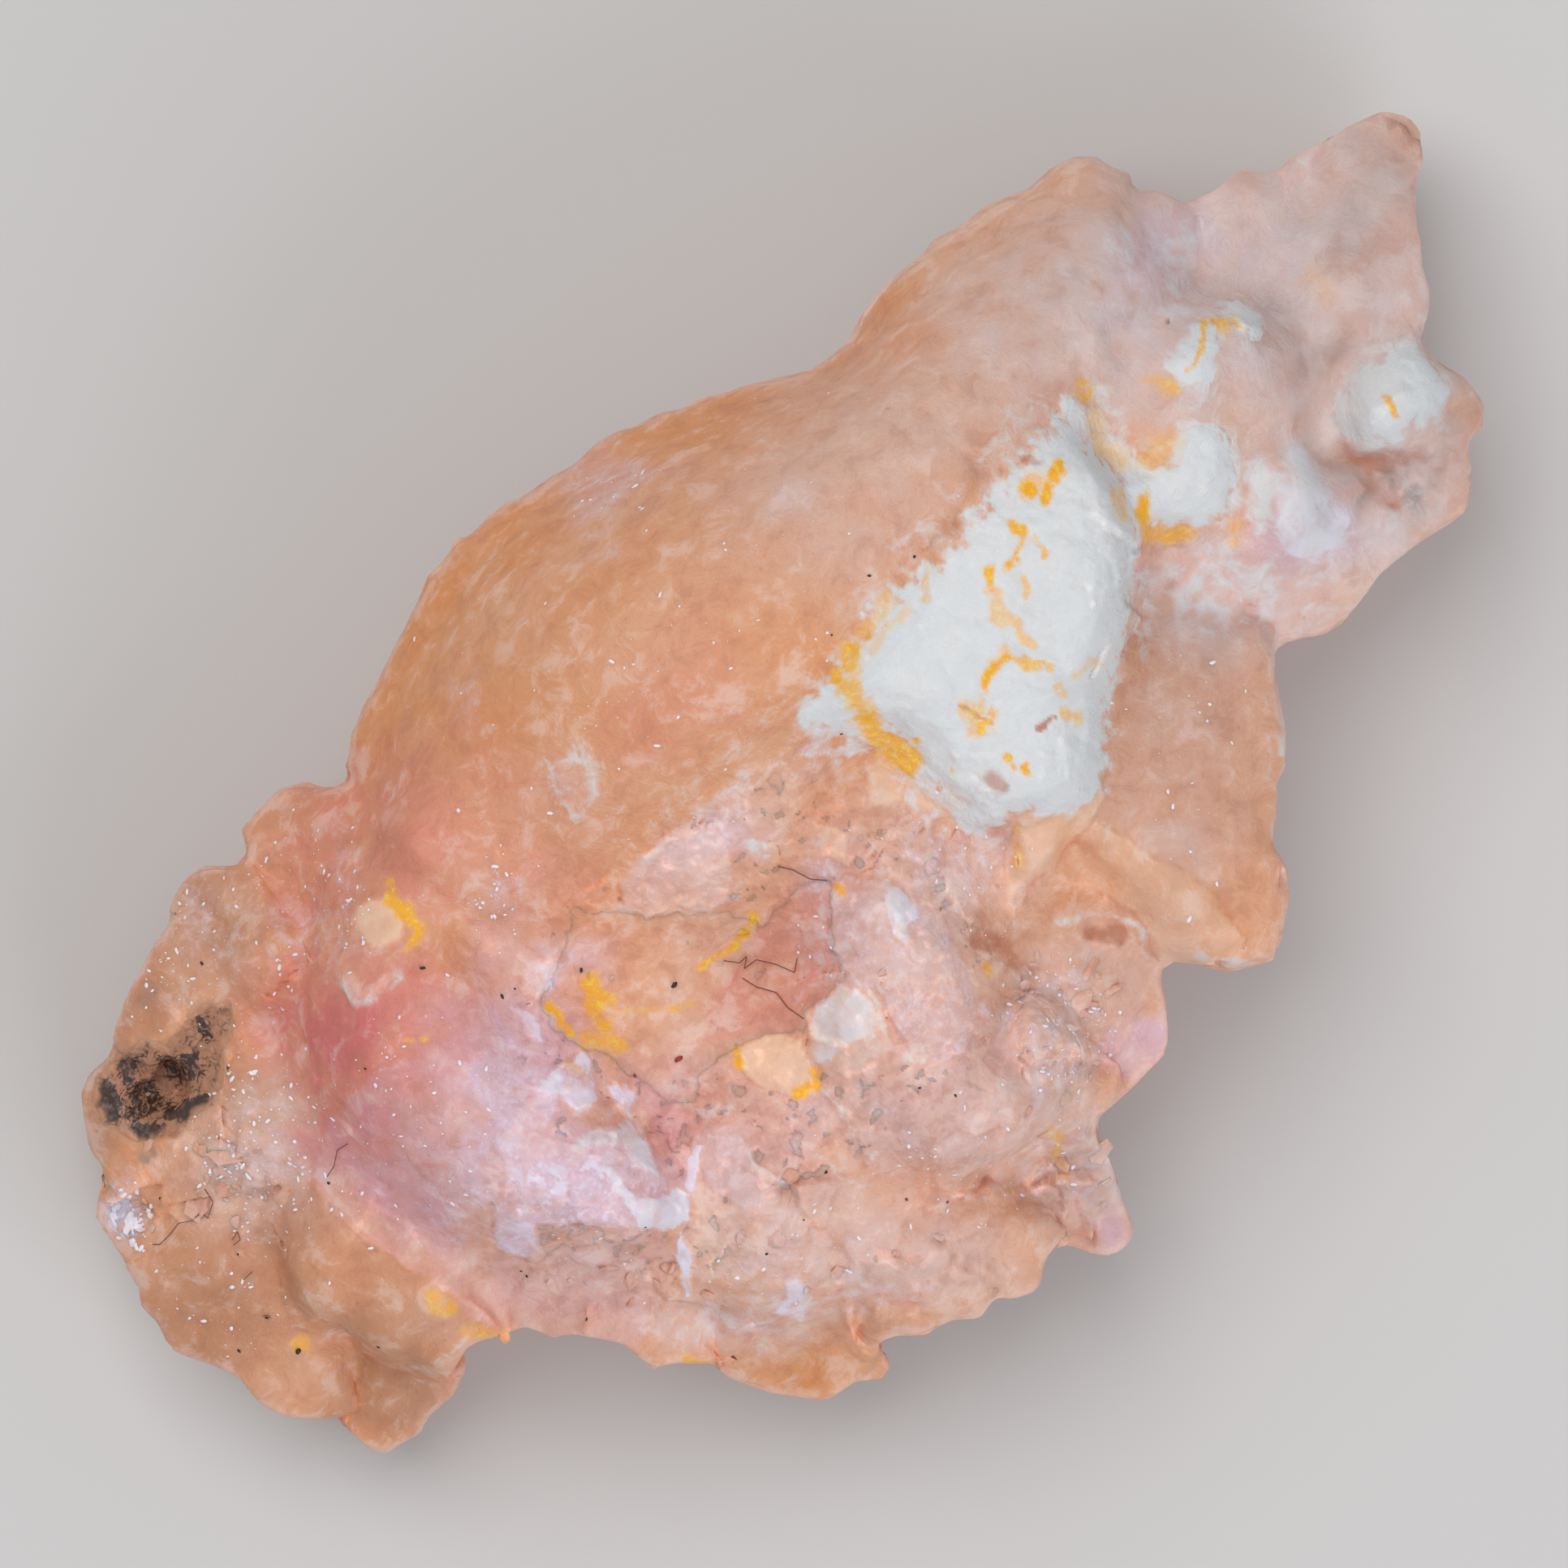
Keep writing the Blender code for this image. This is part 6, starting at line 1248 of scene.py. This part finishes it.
def carved(mesh):
    """Give the evenly meshed stone its relief: smooth dome, broken ground, worn lobes, rippled rims."""
    relief = sizes().relief
    seed = sizes().seed
    edges = read_edges(mesh)
    sheet = to_sheet(read_points(mesh))
    rough = spots(sheet, ROUGH_SPOTS)
    resting = sheet[:, 2] < RESTING_HEIGHT
    share = np.where(resting, 0.0, 0.5)
    crisp = spots(sheet, CRISP_SPOTS)
    sheet = relax(sheet, edges, share * (1.0 - 0.5 * rough) * (1.0 - 0.85 * crisp), WORN_ROUNDS)
    sheet = relax(sheet, edges, share * spots(sheet, MELTED_SPOTS), MELTED_ROUNDS)
    levelled = np.maximum(spots(sheet, LEVELLED_SPOTS), zone(sheet, MIDDLE, 1.0, 0.8))
    sheet = relax(sheet, edges, share * levelled, LEVELLED_ROUNDS)
    write_points(mesh, to_part(sheet))
    normals = read_normals(mesh)
    turned = to_sheet(to_part(sheet) + normals * MM) - sheet
    swell = 0.08 * fractal(sheet, 3.2, seed, 3)
    middle = 1.0 - 0.4 * zone(sheet, MIDDLE, 1.0, 0.8)
    breaks = shard_relief(sheet, SHARD_CELLS[0], 0.16, 0.03, seed) * (0.4 + 0.6 * rough) * middle
    rubble = shard_relief(sheet, SHARD_CELLS[1], 0.20, 0.02, seed + 1) * (0.15 + 0.85 * rough) * middle
    grit = 0.03 * fractal(sheet, 0.6, seed + 2, 3) * (0.35 + 0.65 * rough)
    calm = spots(sheet, CALM_SPOTS)
    calm = np.maximum(calm, np.maximum(zone(sheet, SHELL_BREAK, 0.8, 0.4), zone(sheet, TAN_LOBES, 0.6)))
    height = (swell + breaks) * (1.0 - 0.92 * calm) + rubble + grit * (1.0 - 0.5 * calm)
    height *= relief
    facing_up = np.clip(turned[:, 2], 0.0, 1.0)
    height += proud(sheet) * facing_up * (1.0 - zone(sheet, MIDDLE, 1.0, MIDDLE_FEATHER))
    height += 0.04 * strokes(sheet, WHITE_VEINS, swell) - 0.05 * strokes(sheet, BROWN_CRACKS, swell)
    height[resting] = 0.0
    sheet = sheet + turned * np.clip(height, -0.9, 0.4)[:, None]
    sheet = fitted_to_rim(sheet, turned)
    edge = smooth(np.abs(inside_distance(sheet, RIM)), 0.6, 0.2)
    sheet = relax(sheet, edges, np.where(resting, 0.0, 0.4 * edge), 3)
    sheet = broken_sides(mesh, sheet, resting)
    sheet[:, 2] = np.maximum(sheet[:, 2], 0.0)
    write_points(mesh, to_part(sheet))
    return sheet


def thinned(mesh, sheet):
    """Keep the mesh fine where the stone shows sharp detail from above, and thin it elsewhere."""
    up = smooth(read_normals(mesh)[:, 2], -0.6, 0.3)
    soft = spots(sheet, PLAIN_SPOTS)
    keep = np.round(up * (1.0 - soft) * 4) / 4
    ratio = sizes().triangles / (2 * len(mesh.polygons))
    return applied(
        mesh, "DECIMATE", keep, ratio=ratio, vertex_group_factor=12.0, invert_vertex_group=True)


class QUARTZ_OT_stone(bpy.types.Operator):
    """Make the rose quartz itself, grown together as one piece."""

    bl_idname = "quartz.stone"
    bl_label = "Stone"

    def execute(self, context):
        bm = bmesh.new()
        bm.from_mesh(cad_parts[NODE].data)
        bmesh.ops.remove_doubles(bm, verts=bm.verts, dist=MERGED)
        solid = finished_mesh(bm, "solid")
        fine = applied(solid, "REMESH", mode="VOXEL", voxel_size=sizes().mesh_size)
        mesh = thinned(fine, carved(fine))
        paint(mesh, to_sheet(read_points(mesh)))
        add_piece(STONE, mesh, stone_finish("translucent_quartz", 0.35))
        return {"FINISHED"}


# ---------------------------------------------------------------- skins that lie on the stone

def skin(tree, outline, rise, grain, edge, step, seed):
    """A thin sheet over an outline, sinking into its bed at the edge."""
    corners = np.array(outline, float)
    low, high = corners.min(0) - 0.3, corners.max(0) + 0.3
    across, down = np.ceil((high - low) / step).astype(int)
    bm = bmesh.new()
    bmesh.ops.create_grid(bm, x_segments=int(across), y_segments=int(down), size=0.5)
    plan = np.array([vert.co for vert in bm.verts])
    plan[:, :2] = (plan[:, :2] + 0.5) * (high - low) + low
    within = inside_distance(drawn_on(plan), outline)
    heights, _ = dropped(tree, plan)
    kept = (within >= -0.2) & (heights >= 0.0)
    bmesh.ops.delete(bm, geom=[vert for vert, keep in zip(bm.verts, kept) if not keep], context="VERTS")
    plan, within, heights = plan[kept], within[kept], heights[kept]
    cover = smooth(within, -0.05, edge)
    plan[:, 2] = heights + rise * cover - 0.045 * smooth(within, 0.4 * edge, -0.2)
    plan[:, 2] += grain * (fractal(plan, 0.6, seed + 1, 6) + 0.4 * fractal(plan, 0.16, seed + 2, 3)) * cover
    for vert, place in zip(bm.verts, to_part(plan)):
        vert.co = place
    return finished_mesh(bm, "skin")


def closed_below(mesh, depth):
    """Close a sheet of faces into a solid whose underside lies depth millimetres lower, in the stone."""
    bm = bmesh.new()
    bm.from_mesh(mesh)
    made = bmesh.ops.extrude_face_region(bm, geom=bm.faces[:])["geom"]
    lowered = [part for part in made if isinstance(part, bmesh.types.BMVert)]
    bmesh.ops.translate(bm, verts=lowered, vec=(0.0, 0.0, -depth * MM))
    return finished_mesh(bm, mesh.name)


def laid(name, listed, edge, depth, finish):
    """Join skins (outline, rise, grain) into one painted piece, closed some millimetres below."""
    tree = bed_of(bpy.data.objects[STONE].data)
    bm = bmesh.new()
    for number, (outline, rise, grain) in enumerate(listed):
        bm.from_mesh(skin(tree, outline, rise, grain, edge, sizes().skin_step / MM, number))
    mesh = closed_below(finished_mesh(bm, name), depth)
    paint(mesh, to_sheet(read_points(mesh)))
    return add_piece(name, mesh, finish)


class QUARTZ_OT_crust(bpy.types.Operator):
    """Make the white crust and the white knobs beyond it."""

    bl_idname = "quartz.crust"
    bl_label = "White crust"

    def execute(self, context):
        laid("white_crust", CRUSTS, 0.4, 0.8, stone_finish("white_crust", 0.3, 0.75))
        return {"FINISHED"}


class QUARTZ_OT_middle(bpy.types.Operator):
    """Make the finely flaked skin over the middle, with the recess, its stains and the pale flakes."""

    bl_idname = "quartz.middle"
    bl_label = "Flaked middle"

    def execute(self, context):
        tree = bed_of(bpy.data.objects[STONE].data)
        mesh = skin(tree, MIDDLE, 0.03, 0.01, MIDDLE_FEATHER, sizes().skin_step / MM, 71)
        sheet = to_sheet(read_points(mesh))
        fine = shard_relief(sheet, SHARD_CELLS[2], 0.22, 0.018, sizes().seed + 2)
        sheet[:, 2] += (proud(sheet) + fine) * zone(sheet, MIDDLE, 1.0, MIDDLE_FEATHER)
        write_points(mesh, to_part(sheet))
        mesh = closed_below(mesh, 1.2)
        paint(mesh, to_sheet(read_points(mesh)))
        add_piece("flaked_middle", mesh, stone_finish("flaked_quartz", 0.3, ripple=0.04))
        return {"FINISHED"}


# ---------------------------------------------------------------- chips, painted glints and dust

def scattered(tree, count, weigh, seed):
    """Places on the stone picked by chance where a weight is high: (sheet point, upward normal) pairs."""
    dice = np.random.default_rng(seed)
    plan = np.column_stack((dice.uniform(2.0, 36.6, count * 12), dice.uniform(2.7, 36.0, count * 12)))
    plan = np.column_stack((plan, np.zeros(len(plan))))
    picked = plan[dice.random(len(plan)) < weigh(plan)]
    picked = picked[inside_distance(picked, RIM) > 0.25][:count]
    heights, normals = dropped(tree, picked)
    picked[:, 2] = heights
    kept = heights > 0.5
    return list(zip(picked[kept], normals[kept]))


def set_down(bm, verts, place, normal, size, sink, dice, lean=0.5):
    """Scale new vertices, turn them to lie about a surface and move them onto it."""
    tilt = Vector([normal[k] + dice.uniform(-lean, lean) for k in range(3)]).normalized()
    spin = Matrix.Rotation(dice.uniform(0, math.tau), 4, "Z")
    turn = tilt.to_track_quat("Z", "Y").to_matrix().to_4x4() @ spin
    seat = Vector(to_part([place])[0]) - Vector(normal) * sink * MM
    scale = Matrix.Diagonal((size[0] * MM, size[1] * MM, size[2] * MM, 1.0))
    bmesh.ops.transform(bm, matrix=Matrix.Translation(seat) @ turn @ scale, verts=verts)


class QUARTZ_OT_chips(bpy.types.Operator):
    """Scatter angular chips over the broken ground."""

    bl_idname = "quartz.chips"
    bl_label = "Broken chips"

    def execute(self, context):
        dice = random.Random(sizes().seed + 20)
        tree = bed_of(bpy.data.objects[STONE].data)
        spots_of_chips = scattered(
            tree, sizes().chips, lambda plan: 0.9 * spots(plan, CHIPPED_SPOTS) ** 1.5, sizes().seed + 21)
        bm = bmesh.new()
        for place, normal in spots_of_chips:
            size = 0.09 + 0.28 * dice.random() ** 2.5
            made = bmesh.ops.create_icosphere(bm, subdivisions=1, radius=1.0)["verts"]
            for vert in made:
                vert.co *= dice.uniform(0.7, 1.25)
            shape = tuple(size * dice.uniform(*share) for share in ((0.8, 1.9), (0.6, 1.2), (0.35, 0.6)))
            set_down(bm, made, place, normal, shape, 0.45 * shape[2], dice)
        mesh = finished_mesh(bm, "broken_chips")
        paint(mesh, to_sheet(read_points(mesh)))
        add_piece("broken_chips", mesh, stone_finish("chipped_quartz", 0.12), flat=True)
        return {"FINISHED"}


class QUARTZ_OT_painted_glints(bpy.types.Operator):
    """Scatter small near-white faces over the frosted ground: painted glints that stand in for highlights.
    """

    bl_idname = "quartz.glints"
    bl_label = "Glints"

    def execute(self, context):
        dice = random.Random(sizes().seed + 30)
        tree = bed_of(bpy.data.objects[STONE].data)
        places = scattered(
            tree, sizes().glints, lambda plan: spots(plan, PAINTED_GLINT_SPOTS), sizes().seed + 31)
        bm = bmesh.new()
        for place, normal in places:
            sparkle = spots(place[None, :], [SPARKLING_TIP])[0]
            size = (0.012 + 0.045 * dice.random() ** 3) * (1.0 + 2.0 * sparkle)
            made = bmesh.ops.create_icosphere(bm, subdivisions=1, radius=1.0)["verts"]
            shape = (size * dice.uniform(1.0, 2.4), size, size * 0.6)
            set_down(bm, made, place, normal, shape, 0.1 * size, dice)
        # the glints' near-white colour is painted highlight
        finish = plain_finish("painted_glint_face", PAINTED_GLINT_COLOUR, 0.25)
        add_piece("bright_glints", finished_mesh(bm, "bright_glints"), finish, flat=True)
        return {"FINISHED"}


class QUARTZ_OT_smoky_crystal(bpy.types.Operator):
    """Make the dark, glossy crackle of the smoky crystal at the left."""

    bl_idname = "quartz.smoky_crystal"
    bl_label = "Smoky crystal"

    def execute(self, context):
        tree = bed_of(bpy.data.objects[STONE].data)
        mesh = closed_below(skin(tree, SMOKY_HOLLOW, 0.05, 0.07, 0.2, 0.035, 61), 0.2)
        sheet = to_sheet(read_points(mesh))
        wander = fractal(sheet, 0.4, sizes().seed, 4)
        dark = np.zeros(len(sheet))
        for outline, strength in SMOKY_BODIES:
            within = inside_distance(sheet, outline) + 0.1 * wander
            dark = np.maximum(dark, strength * smooth(within, -0.12, 0.1))
        add_weights(mesh, "dark", dark)
        add_weights(mesh, "edge", smooth(inside_distance(sheet, SMOKY_HOLLOW) + 0.15 * wander, 0.25, 0.0))
        add_piece("smoky_crackle", mesh, smoke_finish())
        return {"FINISHED"}


class QUARTZ_OT_dust(bpy.types.Operator):
    """Lay the dark and red specks and the lint on the stone."""

    bl_idname = "quartz.dust"
    bl_label = "Dust and lint"

    def execute(self, context):
        tint = colours()
        dice = random.Random(sizes().seed + 40)
        tree = bed_of(bpy.data.objects[STONE].data)
        for name, listed, colour in (
                ("dark_specks", DARK_SPECKS, tint.dust), ("red_specks", RED_SPECKS, tint.red)):
            plan = np.array(listed, float)
            heights, normals = dropped(tree, plan)
            bm = bmesh.new()
            for (x, y, radius), z, normal in zip(listed, heights, normals):
                made = bmesh.ops.create_icosphere(bm, subdivisions=2, radius=1.0)["verts"]
                for vert in made:
                    vert.co *= dice.uniform(0.8, 1.15)
                shape = (radius * dice.uniform(0.7, 1.3), radius * 0.65, radius * 0.5)
                set_down(bm, made, (x, y, z + 0.2 * radius), normal, shape, 0.0, dice, 0.2)
            add_piece(name, finished_mesh(bm, name), plain_finish(name, colour))
        curve = bpy.data.curves.new("lint", "CURVE")
        curve.dimensions = "3D"
        curve.bevel_depth = sizes().fibre
        curve.bevel_resolution = 1
        curve.use_fill_caps = True
        for path in FIBRES:
            plan = np.column_stack((np.array(path, float), np.zeros(len(path))))
            heights, _ = dropped(tree, plan)
            plan[:, 2] = heights + LINT_LIFT
            spline = curve.splines.new("NURBS")
            spline.order_u = 3
            spline.use_endpoint_u = True
            spline.points.add(len(path) - 1)
            for point, place in zip(spline.points, to_part(plan)):
                point.co = (*place, 1.0)
        holder = bpy.data.objects.new("lint", curve)
        context.scene.collection.objects.link(holder)
        mesh = bpy.data.meshes.new_from_object(holder.evaluated_get(context.evaluated_depsgraph_get()))
        bpy.data.objects.remove(holder)
        bm = bmesh.new()
        bm.from_mesh(mesh)
        bmesh.ops.remove_doubles(bm, verts=bm.verts, dist=LINT_MERGED)
        bmesh.ops.recalc_face_normals(bm, faces=bm.faces)
        add_piece("lint_fibres", finished_mesh(bm, "lint_fibres"), plain_finish("lint", LINT_COLOUR))
        return {"FINISHED"}


# ---------------------------------------------------------------- the studio

def area_light(name, size, power, offset, colour):
    """A soft box that faces the stone, offset in millimetres from the middle of the sheet."""
    place = to_part([(SHEET_MIDDLE[0] + offset[0], SHEET_MIDDLE[1] + offset[1], offset[2])])[0]
    light = bpy.data.lights.new(name, "AREA")
    light.shape = "SQUARE"
    light.size = size
    light.energy = power
    light.color = colour
    lamp = bpy.data.objects.new(name, light)
    lamp.location = place
    lamp.rotation_euler = (-Vector(place)).to_track_quat("-Z", "Y").to_euler()
    bpy.context.scene.collection.objects.link(lamp)


class QUARTZ_OT_studio(bpy.types.Operator):
    """Lay out the pale floor, the soft lights and the camera that looks straight down."""

    bl_idname = "quartz.studio"
    bl_label = "Studio"

    def execute(self, context):
        scene = context.scene
        bm = bmesh.new()
        bmesh.ops.create_grid(bm, x_segments=1, y_segments=1, size=FLOOR_SIZE)
        mesh = finished_mesh(bm, "pale_floor")
        finish = Finish("pale_floor", roughness=0.8)
        finish.set("Base Color", FLOOR_COLOUR)
        floor = bpy.data.objects.new("pale_floor", mesh)
        mesh.materials.append(finish.material)
        scene.collection.objects.link(floor)

        world = bpy.data.worlds.new("soft_room")
        world.use_nodes = True
        glow = world.node_tree.nodes["Background"].inputs
        glow["Color"].default_value = ROOM_COLOUR
        glow["Strength"].default_value = ROOM_STRENGTH
        scene.world = world
        area_light("key_box", 0.30, 0.76, KEY_OFFSET, (1.0, 0.97, 0.94))
        area_light("fill_box", 0.24, 0.42, FILL_OFFSET, (0.96, 0.97, 1.0))

        lens = bpy.data.cameras.new("overhead")
        lens.lens = LENS
        lens.sensor_width = SENSOR_WIDTH
        height = SHEET_SIDE * MM * lens.lens / lens.sensor_width
        lens.clip_start = 0.01
        lens.clip_end = 10.0
        camera = bpy.data.objects.new("overhead", lens)
        middle = to_part([(*SHEET_MIDDLE, GIRDLE_HEIGHT)])[0]
        camera.location = Vector(middle) + Vector((0.0, 0.0, height))
        camera.rotation_euler = (0.0, 0.0, LENGTH_TURN)
        scene.collection.objects.link(camera)
        scene.camera = camera
        scene.view_settings.view_transform = "Standard"
        return {"FINISHED"}


class QUARTZ_PT_panel(bpy.types.Panel):
    """Lists the pieces of the cluster and what a user may change."""

    bl_label = "Rose Quartz Cluster"
    bl_space_type = "VIEW_3D"
    bl_region_type = "UI"
    bl_category = "Quartz"

    def draw(self, context):
        for group in (context.scene.quartz_sizes, context.scene.quartz_colours):
            for name in group.__annotations__:
                self.layout.prop(group, name)
        for operator in OPERATORS:
            self.layout.operator(operator.bl_idname)


OPERATORS = (
    QUARTZ_OT_stone, QUARTZ_OT_crust, QUARTZ_OT_middle, QUARTZ_OT_chips, QUARTZ_OT_painted_glints,
    QUARTZ_OT_smoky_crystal, QUARTZ_OT_dust, QUARTZ_OT_studio,
)
CLASSES = (QuartzSizes, QuartzColours, *OPERATORS, QUARTZ_PT_panel)


def register():
    for item in CLASSES:
        bpy.utils.register_class(item)
    bpy.types.Scene.quartz_sizes = PointerProperty(type=QuartzSizes)
    bpy.types.Scene.quartz_colours = PointerProperty(type=QuartzColours)


def unregister():
    del bpy.types.Scene.quartz_colours
    del bpy.types.Scene.quartz_sizes
    for item in reversed(CLASSES):
        bpy.utils.unregister_class(item)


def main():
    register()
    bpy.ops.quartz.stone()
    bpy.ops.quartz.crust()
    bpy.ops.quartz.middle()
    bpy.ops.quartz.chips()
    bpy.ops.quartz.glints()
    bpy.ops.quartz.smoky_crystal()
    bpy.ops.quartz.dust()
    bpy.ops.quartz.studio()


if __name__ == "__main__":
    main()
